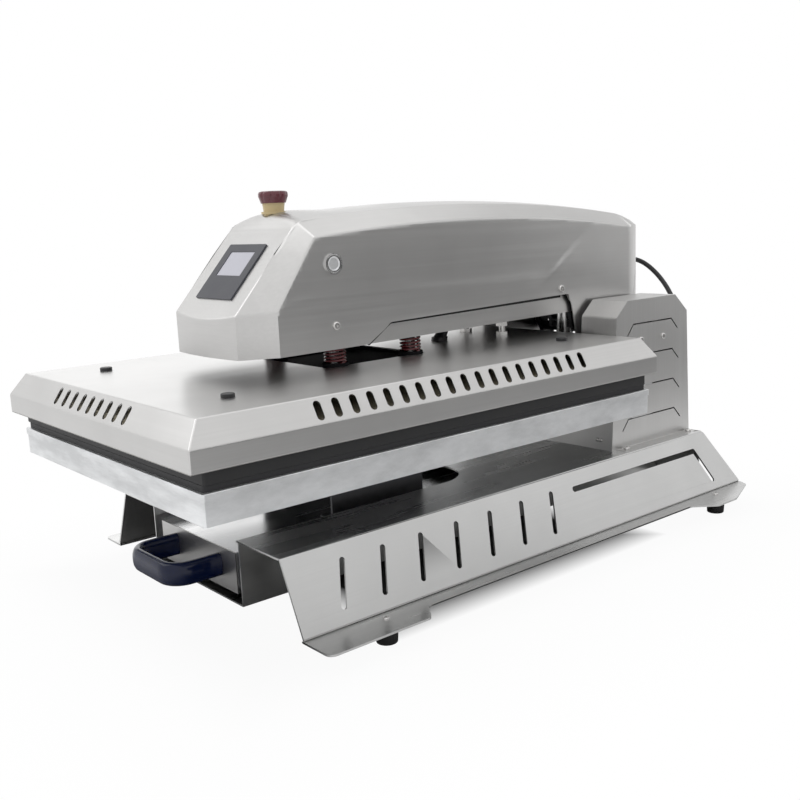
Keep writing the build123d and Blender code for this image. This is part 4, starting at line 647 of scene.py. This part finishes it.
def nose_height(across, along):
    """Height of the arm's top: the nose's panel and the crown, with a wide roll between."""
    share = 1 - min(1.0, (across / top_half_width) ** 2)
    panel = panel_height + (along - panel_along) * panel_slope
    panel += panel_dome * share * fade(along, dome_start, dome_end)
    crest = arc_height + (arc_radius ** 2 - (along - arc_along) ** 2) ** 0.5
    crown = crest + crown_dome * share * (1 - fade(along, 830, 905))
    crown += front_dome * share * (1 - fade(along, 285, 350))
    reach = 9 + 5 * share
    near = max(0.0, reach - abs(panel - crown)) / reach
    return min(panel, crown) - near * near * reach / 4


# Arm cover: domed nose, pressed side lines and bulged rear

arm_half_width = 0.0989
core_front, core_rear, core_height = -0.15, 0.30, 0.34
stop_y, stop_hole_radius = -0.217, 0.0095
sheet_depth = 0.008
hair = 0.00005
nose_back, nose_height_limit = -0.225, 0.473
top_low, top_rear = 0.44, 0.4192
panel_foot_y, panel_top_y = -0.253, -0.2345
crown_cuts = (-0.126, 0.0145, 37)
panel_cuts = (-0.2525, 0.0022, 28)
roll_cuts = (-0.184, 0.0075, 6)
lengthwise_cuts = (-0.066, 0.011, 13)
side_net, side_net_front, side_net_low = 0.005, -0.31, 0.318
side_net_length, side_net_height = 0.70, 0.15
end_start, end_length, end_drop = 0.375, 0.064, 0.038


def outer_skin_only(piece):
    """Deletes the inside faces and the cut rims of a hollow sheet piece.

    A face goes when it points at the core, when another face covers it, or when the sheet
    behind it is too deep for one wall.
    """
    start_editing(piece)
    mesh = bmesh.from_edit_mesh(piece.data)
    tree = BVHTree.FromBMesh(mesh)
    inner = set()
    for face in mesh.faces:
        middle, normal = face.calc_center_median(), face.normal
        core = Vector((0, min(max(middle.y, core_front), core_rear), core_height))
        hidden = tree.ray_cast(middle + normal * hair, normal)[0] is not None
        if hidden or normal.dot(middle - core) < 0:
            inner.add(face.index)
            continue
        depth = tree.ray_cast(middle - normal * hair, -normal)[3]
        if depth is None or depth > sheet_depth:
            inner.add(face.index)
    pick(piece, "faces", lambda face: face.index in inner)
    bpy.ops.mesh.delete(type="FACE")
    stop_editing()


def close_stop_hole(arm):
    """Fills the emergency stop's hole, so that the top can be shaped as one sheet."""
    hole_reach, hole_low = 0.012, 0.46

    def is_stop_hole(line):
        middle = middle_of(line)
        return (line.is_boundary and abs(middle.x) < hole_reach
                and stop_y - hole_reach < middle.y < stop_y + hole_reach
                and middle.z > hole_low)

    start_editing(arm)
    pick(arm, "edges", is_stop_hole)
    bpy.ops.mesh.edge_face_add()
    stop_editing()


def join_nose_faces(arm):
    """The nose's faces become whole, where they are nearly in one plane."""
    start_editing(arm)
    pick(arm, "faces", lambda face: face.calc_center_median().y < nose_back
         and face.calc_center_median().z < nose_height_limit)
    bpy.ops.mesh.dissolve_limited(angle_limit=radians(3))
    stop_editing()


def shape_nose_top(arm):
    """A fine net over the whole top, set to the height of its crown and its domed front."""

    def in_top(place):
        return abs(place.x) * 1000 < top_half_width and place.z > top_low and place.y < top_rear

    def behind_panel(place):
        return in_top(place) and place.y > panel_top_y

    def on_top(face):
        return face.normal.z > 0.3 and in_top(face.calc_center_median())

    def set_height(corner):
        across, along = corner.co.x * 1000, from_front(corner.co.y)
        if abs(across) < top_half_width + 0.2 and 237 < along < 909.5 and corner.co.z > top_low:
            corner.co.z = nose_height(across, along) / 1000

    start_editing(arm)
    pick(arm, "edges", lambda line: line.is_boundary
         and all(behind_panel(vertex.co) for vertex in line.verts))
    bpy.ops.mesh.fill_holes(sides=12)
    pick(arm, "faces", lambda face: behind_panel(face.calc_center_median()))
    bpy.ops.mesh.dissolve_faces()
    for cuts in (crown_cuts, panel_cuts, roll_cuts):
        cut_across(arm, on_top, "y", *cuts)
    cut_across(arm, lambda face: on_top(face) and face.calc_center_median().y > panel_foot_y,
               "x", *lengthwise_cuts)
    move_corners(arm, set_height)
    stop_editing()


def round_cover_bends(arm):
    """Round bends along the cover's edges, in front of the column."""

    def is_bend(line):
        start = line.verts[0].co
        return (len(line.link_faces) == 2 and line.calc_face_angle() > radians(14)
                and start.z > 0.36 and start.y < 0.386 and line.calc_length() > 0.0012)

    start_editing(arm)
    round_bends(arm, is_bend, 0.0019, clamp=False)
    stop_editing()


def round_rear_top(arm):
    """The rear end comes down in one wide curve instead of a flat and a small corner."""

    def lower(corner):
        share = min(1.0, max(0.0, (corner.co.y - end_start) / end_length))
        drop = end_drop * (1 - (1 - share * share) ** 0.5)
        corner.co.z -= drop * fade(corner.co.z, 0.400, 0.450)

    start_editing(arm)
    cut_across(arm, lambda face: True, "y", 0.374, 0.0055, 12)
    cut_across(arm, lambda face: face.calc_center_median().y > 0.340, "z", 0.396, 0.008, 8)
    move_corners(arm, lower)
    stop_editing()


def press_sides(arm):
    """A net over both sides, pressed out along their lines, and the lower edge raised."""

    def on_side(face):
        return abs(face.normal.x) > 0.9999 and abs(face.calc_center_median().x) > 0.098

    def press(corner):
        along = from_front(corner.co.y)
        if all(on_side(face) for face in corner.link_faces) and not corner.is_boundary:
            relief = side_relief(along, corner.co.z * 1000) / 1000
            corner.co.x += relief if corner.co.x > 0 else -relief
        if corner.co.z < 0.37 and edge_front < along < edge_rear:
            lift = edge_lift + edge_more_lift * (along - edge_full) / edge_length
            lift *= fade(along, edge_front, edge_full)
            corner.co.z += lift * (1 - fade(corner.co.z, 0.3396, 0.3680)) / 1000

    start_editing(arm)
    cut_across(arm, on_side, "y", side_net_front, side_net, round(side_net_length / side_net))
    cut_across(arm, on_side, "z", side_net_low, side_net, round(side_net_height / side_net))
    move_corners(arm, press)
    stop_editing()


def drill_stop_hole(arm):
    """The hole under the emergency stop."""
    bpy.ops.mesh.primitive_cylinder_add(vertices=40, radius=stop_hole_radius, depth=0.05,
                                        location=(0, stop_y, 0.478))
    drill = bpy.context.object
    finish_with(arm, "BOOLEAN", operation="DIFFERENCE", object=drill, solver="EXACT")
    bpy.data.objects.remove(drill)


def make_arm_cover():
    """The arm's sheet cover, shaped as one skin and then given its thickness."""
    arm = merged_copy("arm_cover", "arm_shell")
    outer_skin_only(arm)
    close_stop_hole(arm)
    join_faces(arm)
    join_nose_faces(arm)
    shape_nose_top(arm)
    round_cover_bends(arm)
    round_rear_top(arm)
    press_sides(arm)
    finish_with(arm, "SOLIDIFY", thickness=0.0016, offset=-1, use_even_offset=False)
    drill_stop_hole(arm)
    smooth_flats(arm, 22)
    put(arm, "arm", "brushed_sheet", "arm_cover")


def side_strips(name, lines, out, thick):
    """Thin upright strips on both sides of the arm, as one piece."""
    strips = []
    for side in (-1, 1):
        for corners in lines:
            strip = four_cornered([(side * out, y, z) for y, z in corners])
            finish_with(strip, "SOLIDIFY", thickness=thick, offset=0)
            start_editing(strip)
            face_outwards()
            stop_editing()
            strips.append(strip)
    return join_pieces(strips, name)


def make_gap_shade_strips():
    """Thin near-black strips that paint the gap's shade as a line between the cover's lower edge and the
    pan.
    """
    lines = (((-0.1525, 0.3165), (-0.1160, 0.3405), (-0.1463, 0.3142), (-0.1098, 0.3382)),
             ((-0.1160, 0.3435), (0.2220, 0.3495), (-0.1120, 0.3382), (0.2220, 0.3443)))
    shade_strips = side_strips("cover_edge_shade_strips", lines, out=0.0926, thick=0.0008)
    # The strips take the black rubber finish as painted shade.
    put(shade_strips, "arm", "foot_rubber")


def make_pan_lips():
    """Side lips of the pan, a little deeper at the front than at the rear."""
    lines = (((-0.2270, 0.3150), (0.2415, 0.3209), (-0.2270, 0.3520), (0.2415, 0.3520)),)
    lips = side_strips("pan_side_lips", lines, out=0.0922, thick=0.0006)
    put(lips, "arm", "brushed_sheet")


make_arm_cover()
make_gap_shade_strips()
make_pan_lips()


# Turned pieces

def turned(name, outline, steps, close_start=False, close_end=False):
    """A piece turned about Z from an outline of radius and height."""
    bpy.ops.object.select_all(action="DESELECT")
    radius, height = outline[0]
    bpy.ops.mesh.primitive_circle_add(vertices=steps, radius=radius,
                                      fill_type="NGON" if close_start else "NOTHING")
    piece = bpy.context.object
    piece.name = name
    start_editing(piece)
    bpy.ops.mesh.select_mode(type="EDGE")
    bpy.ops.mesh.select_all(action="SELECT")
    bpy.ops.transform.translate(value=(0, 0, height))
    for next_radius, next_height in outline[1:]:
        extrude_by(0, 0, next_height - height)
        share = next_radius / radius
        bpy.ops.transform.resize(value=(share, share, 1), center_override=(0, 0, 0))
        radius, height = next_radius, next_height
    if close_end:
        bpy.ops.mesh.edge_face_add()
    face_outwards()
    stop_editing()
    return piece


# Emergency stop

flutes, flute_depth, flute_start, flute_end = 9, 0.0013, 0.0160, 0.0185


def make_stop_head():
    """Red head that widens upwards, hollow below, with finger flutes round its rim."""
    head = turned("stop_grip", [
        (0.0078, 0.5040), (0.0148, 0.5040), (0.0151, 0.4975), (0.0158, 0.4975), (0.0163, 0.4988),
        (0.0182, 0.5042), (0.0188, 0.5056), (0.0190, 0.5078), (0.0187, 0.5101), (0.0177, 0.5116),
        (0.0155, 0.5124), (0.0146, 0.5116), (0.0110, 0.5112), (0.0050, 0.5115)],
        steps=72, close_end=True)

    def flute(corner):
        radius = (corner.co.x ** 2 + corner.co.y ** 2) ** 0.5
        if radius > flute_start:
            angle = atan2(corner.co.y, corner.co.x)
            dip = max(0.0, cos(flutes * angle)) ** 3 * flute_depth
            dip *= fade(radius, flute_start, flute_end)
            corner.co.x *= 1 - dip / radius
            corner.co.y *= 1 - dip / radius

    start_editing(head)
    move_corners(head, flute)
    stop_editing()
    smooth_flats(head, 35)
    move_to(head, (0, stop_y, 0))
    put(head, "stop_head", "stop_red", "stop_head")


def make_stop_sleeve():
    """Yellow sleeve over the collar, wider at the top, where it runs up inside the head."""
    sleeve = turned("stop_sleeve", [
        (0.0131, 0.4790), (0.0132, 0.4890), (0.0137, 0.4930), (0.0143, 0.4970), (0.0145, 0.4985),
        (0.0142, 0.4990), (0.0133, 0.4990)], steps=64)
    smooth_flats(sleeve, 35)
    move_to(sleeve, (0, stop_y, 0))
    put(sleeve, "arm", "stop_yellow")


make_stop_head()
make_stop_sleeve()


# Start buttons

button_y, button_z = -0.201, 0.421


def make_start_button(side, sign):
    """Dished metal cap of a start button and its rounded ring."""
    turn = Matrix.Rotation(radians(90 * sign), 4, "Y")
    place = (sign * arm_half_width, button_y, button_z)
    cap = turned("start_cap_" + side, [
        (0.0092, -0.0130), (0.0092, 0.0018), (0.0089, 0.0026), (0.0082, 0.0029),
        (0.0076, 0.0025), (0.0070, 0.0018), (0.0050, 0.0017)], steps=56, close_start=True,
        close_end=True)
    smooth_flats(cap, 35)
    move_to(cap, place, turn)
    node = "push_button_" + side
    put(cap, node, "ground_steel", node, finish=finishes["plain_aluminium"])
    ring = turned("start_ring_" + side, [
        (0.0125, 0.0001), (0.0125, 0.0021), (0.0121, 0.0029), (0.0113, 0.0032),
        (0.0103, 0.0030), (0.0097, 0.0022), (0.0094, 0.0010), (0.0094, -0.0100)], steps=64)
    smooth_flats(ring, 35)
    move_to(ring, place, turn)
    put(ring, "arm", "ground_steel")


make_start_button("right", 1)
make_start_button("left", -1)


# Pressure springs

spring_places = [(x, y) for x in (-0.070, 0.070) for y in (-0.185, -0.059)]
coil_radius, wire_radius = 0.0129, 0.0016
coil_bottom, coil_top = 0.2955, 0.3501
coil_turns, steps_a_turn = 12.0, 26


def make_springs():
    """Four painted coil springs, wound closer towards both ends."""
    coils = []
    for x, y in spring_places:
        curve = bpy.data.curves.new("spring wire", "CURVE")
        curve.dimensions = "3D"
        wire = curve.splines.new("POLY")
        count = round(coil_turns * steps_a_turn)
        wire.points.add(count)
        for step, point in enumerate(wire.points):
            share = step / count
            eased = 0.5 - 0.5 * cos(pi * share)
            rise = 0.80 * share + 0.20 * eased
            angle = 2 * pi * coil_turns * share
            point.co = (x + coil_radius * cos(angle), y + coil_radius * sin(angle),
                        coil_bottom + rise * (coil_top - coil_bottom), 1.0)
        coils.append(tube_along("spring", curve, wire_radius, sides=3))
    springs = join_pieces(coils, "spring_coils")
    give_finish(springs, finishes["spring_red"])
    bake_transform(springs, "platen", "arm", start=(0, 0, 0.2936), end=(0, 0, 0.3520))
    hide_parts("pressure_springs")


make_springs()


# Opening in the heater cover under the arm

# A near-black finish that paints the shade seen inside the opening under the arm.
painted_shade_black = moulded("painted shade black", (0.010, 0.010, 0.011), 0.90, 700, 0.2, 0.2)
set_shine(painted_shade_black, 0.08)
opening_half, opening_front, opening_rear = 0.080, -0.207, -0.041
hood_top_low, hood_top_high, hood_rim_low, rim_depth = 0.284, 0.293, 0.2908, 0.0030
tray_floor, tray_rim = 0.2852, 0.2900


def cut_spring_opening():
    """Oblong opening in the heater cover's top, with its rim turned down."""
    hood = bpy.data.objects["heater_hood"]

    def level(face):
        return (abs(face.normal.z) > 0.9
                and hood_top_low < face.calc_center_median().z < hood_top_high)

    def within(place, margin=0.0):
        return (abs(place.x) < opening_half + margin
                and opening_front - margin < place.y < opening_rear + margin)

    def on_rim(line):
        middle = middle_of(line)
        return line.is_boundary and middle.z > hood_rim_low and within(middle, 0.001)

    start_editing(hood)
    cut_across(hood, level, "x", -opening_half, 2 * opening_half, 2)
    cut_across(hood, level, "y", opening_front, opening_rear - opening_front, 2)
    pick(hood, "faces", lambda face: level(face) and within(face.calc_center_median()))
    bpy.ops.mesh.delete(type="FACE")
    pick(hood, "edges", on_rim)
    extrude_by(0, 0, -rim_depth)
    stop_editing()
    smooth_flats(hood)


def make_painted_shade_tray():
    """Open tray under the opening, which the springs stand in, in a near-black finish that paints the shade
    inside the opening.
    """
    bpy.ops.object.select_all(action="DESELECT")
    bpy.ops.mesh.primitive_cube_add(size=1.0, location=(0, 0, 0))
    tray = bpy.context.object
    tray.name = "painted_shade_tray"
    size = Matrix.Diagonal((2 * opening_half, opening_rear - opening_front,
                            tray_rim - tray_floor, 1))
    move_to(tray, (0, (opening_front + opening_rear) / 2, (tray_floor + tray_rim) / 2), size)
    start_editing(tray)
    pick(tray, "faces", lambda face: face.normal.z > 0.5)
    bpy.ops.mesh.delete(type="FACE")
    stop_editing()
    finish_with(tray, "SOLIDIFY", thickness=0.0008, offset=1)
    smooth_flats(tray)
    put(tray, "platen", "black_plastic", finish=painted_shade_black)


def make_spring_seats():
    """Four cups that hold the lower ends of the springs, in the near-black painted-shade finish in place of
    their dark steel.
    """
    seats = []
    for x, y in spring_places:
        seat = turned("spring_seat_cups", [
            (0.0100, 0.2854), (0.0168, 0.2854), (0.0168, 0.2952), (0.0163, 0.2957),
            (0.0156, 0.2952), (0.0156, 0.2936), (0.0060, 0.2936)], steps=40,
            close_start=True, close_end=True)
        smooth_flats(seat, 35)
        move_to(seat, (x, y, 0))
        seats.append(seat)
    cups = join_pieces(seats, "spring_seat_cups")
    put(cups, "platen", "dark_steel", "spring_seats", finish=painted_shade_black)


def make_cable_elbow():
    """Black gland on the heater cover that leans back towards the pan above it."""
    gland_foot, lean = 0.2950, 0.80
    elbow = merged_copy("platen_cable_gland", "heater_cable_elbow")
    for vertex in elbow.data.vertices:
        vertex.co.y += lean * max(0.0, vertex.co.z - gland_foot)
    smooth_flats(elbow, 40)
    put(elbow, "platen", "black_plastic", "platen_cable_gland")


cut_spring_opening()
make_painted_shade_tray()
make_spring_seats()
make_cable_elbow()


# Drawer handle

leg_x, handle_z = -0.0555, 0.070
leg_start, leg_end, corner_radius = -0.3632, -0.401, 0.025
grip_half_thick, grip_half_high = 0.0069, 0.0143
inner_roundness, outer_roundness = 2.3, 3.6


def make_handle():
    """Thick loop handle: D-shaped section carried along a leg, a grip and the other leg."""

    def shape_section(corner):
        across, up = corner.co.x, corner.co.y
        power = inner_roundness if across < 0 else outer_roundness
        size = (abs(across) ** power + abs(up) ** power) ** (1 / power)
        corner.co = (leg_x + grip_half_thick * across / size, leg_start,
                     handle_z + grip_half_high * up / size)

    def carry(steps, x, y):
        for step in range(steps):
            extrude_by(x / steps, y / steps, 0)

    def turn_corner(x):
        bpy.ops.mesh.spin(steps=10, angle=radians(-90), center=(x, leg_end, 0), axis=(0, 0, 1))

    bpy.ops.object.select_all(action="DESELECT")
    bpy.ops.mesh.primitive_circle_add(vertices=28, radius=1.0, fill_type="NOTHING")
    handle = bpy.context.object
    handle.name = "drawer_loop_handle"
    start_editing(handle)
    move_corners(handle, shape_section)
    bpy.ops.mesh.select_mode(type="EDGE")
    bpy.ops.mesh.select_all(action="SELECT")
    carry(3, 0, leg_end - leg_start)
    turn_corner(leg_x + corner_radius)
    carry(4, -2 * leg_x - 2 * corner_radius, 0)
    turn_corner(-leg_x - corner_radius)
    carry(3, 0, leg_start - leg_end)
    bpy.ops.mesh.select_all(action="SELECT")
    bpy.ops.mesh.remove_doubles(threshold=0.00001)
    face_outwards()
    stop_editing()
    work_on(handle)
    bpy.ops.object.shade_smooth()
    put(handle, "drawer", "handle_blue", "drawer_handle")


make_handle()


# Stage: floor, world, lamps, reflection cards

def seen_share(tree):
    """1 for rays from the camera, a reflection or a clear piece, and 0 for soft light."""
    path = tree.nodes.new("ShaderNodeLightPath")
    share = path.outputs["Is Camera Ray"]
    for kind in ("Is Glossy Ray", "Is Transmission Ray"):
        share = calculated(tree, "MAXIMUM", share, path.outputs[kind])
    return share


def away_from_middle(tree, half_width, half_length, spread):
    """0 under the machine, rising to 1 a little way out from it."""
    place = split_coordinates(tree, "Object")
    shares = []
    for axis, half in (("X", half_width), ("Y", half_length)):
        size = calculated(tree, "ABSOLUTE", place[axis])
        shares.append(remap(tree, size, half, half + spread, 0, 1))
    return calculated(tree, "MAXIMUM", *shares)


def add_glow(tree, kind, grey, strength=1.0):
    """A shader that gives off one grey."""
    glow = tree.nodes.new(kind)
    glow.inputs["Color"].default_value = (grey, grey, grey, 1)
    glow.inputs["Strength"].default_value = strength
    return glow


def mix_shaders(tree, share, first, second):
    """A shader between two, by a share."""
    mix = tree.nodes.new("ShaderNodeMixShader")
    tree.links.new(share, mix.inputs["Fac"])
    tree.links.new(first.outputs[0], mix.inputs[1])
    tree.links.new(second.outputs[0], mix.inputs[2])
    return mix


def bare_tree(owner):
    """The emptied node tree of a material or a world."""
    owner.use_nodes = True
    owner.node_tree.nodes.clear()
    return owner.node_tree


def add_floor():
    """Pale floor that shows as white beside the machine; under it the floor keeps its shadow, and its own
    colour is also darkened there as painted shade.
    """
    bpy.ops.object.select_all(action="DESELECT")
    bpy.ops.mesh.primitive_circle_add(vertices=96, radius=6.0, fill_type="NGON",
                                      location=(0, 0, 0))
    floor = bpy.context.object
    floor.name = "floor"
    finish = bpy.data.materials.new("floor white")
    tree = bare_tree(finish)
    out = tree.nodes.new("ShaderNodeOutputMaterial")
    matt = tree.nodes.new("ShaderNodeBsdfDiffuse")
    # Painted shade: the floor's colour goes from 0.92 down to 0.16 under the machine.
    painted_shade_under = away_from_middle(tree, 0.20, 0.40, 0.12)
    tree.links.new(blend_colours(tree, painted_shade_under, (0.16, 0.16, 0.16), (0.92, 0.92, 0.92)),
                   matt.inputs["Color"])
    glow = add_glow(tree, "ShaderNodeEmission", 1)
    near = calculated(tree, "MULTIPLY", away_from_middle(tree, 0.20, 0.20, 0.06), 0.95)
    far = calculated(tree, "MULTIPLY", away_from_middle(tree, 0.26, 0.42, 0.30), 0.05)
    path = tree.nodes.new("ShaderNodeLightPath")
    seen = calculated(tree, "MULTIPLY", path.outputs["Is Camera Ray"],
                      calculated(tree, "ADD", near, far))
    mirrored = calculated(tree, "ADD", path.outputs["Is Glossy Ray"],
                          path.outputs["Is Transmission Ray"])
    # Reflections see the white glow only away from the machine; under it they see the floor's painted-shade
    # colour.
    in_metal = calculated(tree, "MULTIPLY", mirrored, away_from_middle(tree, 0.30, 0.50, 0.12))
    mix = mix_shaders(tree, calculated(tree, "ADD", seen, in_metal), matt, glow)
    tree.links.new(mix.outputs[0], out.inputs["Surface"])
    floor.data.materials.append(finish)


def add_world():
    """Soft even light, with white behind the machine and in its reflections."""
    world = bpy.data.worlds.new("studio")
    bpy.context.scene.world = world
    tree = bare_tree(world)
    out = tree.nodes.new("ShaderNodeOutputWorld")
    soft = add_glow(tree, "ShaderNodeBackground", 1, 0.60)
    white = add_glow(tree, "ShaderNodeBackground", 1)
    mix = mix_shaders(tree, seen_share(tree), soft, white)
    tree.links.new(mix.outputs[0], out.inputs["Surface"])


def add_softbox(name, place, target, size, power):
    """A large rectangular lamp, turned towards a target."""
    lamp = bpy.data.lights.new(name, "AREA")
    lamp.shape = "RECTANGLE"
    lamp.size, lamp.size_y = size
    lamp.energy = power
    box = bpy.data.objects.new(name, lamp)
    bpy.context.collection.objects.link(box)
    aim = (Vector(target) - Vector(place)).to_track_quat("-Z", "Y")
    box.matrix_world = Matrix.Translation(place) @ aim.to_matrix().to_4x4()


def add_grey_card(name, across, along, heights, grey):
    """A grey card that only shows as its reflection in the metal."""
    card = four_cornered([(x, y, z) for z in heights for y in along for x in across])
    card.name = name
    finish = bpy.data.materials.new(name)
    tree = bare_tree(finish)
    out = tree.nodes.new("ShaderNodeOutputMaterial")
    glow = add_glow(tree, "ShaderNodeEmission", grey)
    tree.links.new(glow.outputs[0], out.inputs["Surface"])
    card.data.materials.append(finish)
    card.visible_camera = False
    card.visible_diffuse = False
    card.visible_shadow = False


add_floor()
add_world()
add_softbox("key softbox", (-1.6, -1.7, 2.3), (0, 0, 0.2), (2.6, 2.0), 20)
add_softbox("top softbox", (0.3, -0.4, 2.8), (0, 0, 0.2), (2.2, 1.8), 10)
add_softbox("left softbox", (-2.3, 0.65, 0.72), (0, 0.1, 0.25), (1.9, 0.8), 2.5)
for card in (("front side card", (3.0,), (-0.6, 2.3), (0.0, 0.85), 0.090),
             ("side card", (3.0,), (2.3, 3.9), (0.0, 0.85), 0.035),
             ("floor card", (0.95, 3.0), (-0.3, 1.4), (0.006,), 0.50),
             ("rear floor card", (0.95, 3.0), (1.4, 3.9), (0.006,), 0.22),
             ("near floor card", (0.62, 0.95), (-0.3, 2.2), (0.006,), 0.22),
             ("nose card", (-2.0,), (-1.3, 0.2), (1.2, 2.4), 1.00),
             ("front ceiling card", (-2.2, 1.9), (1.0, 2.1), (2.7,), 1.25),
             ("rear ceiling card", (-2.2, 1.9), (2.1, 4.4), (2.7,), 0.80)):
    add_grey_card(*card)

bpy.context.scene.view_settings.view_transform = "Standard"

bpy.context.view_layer.update()
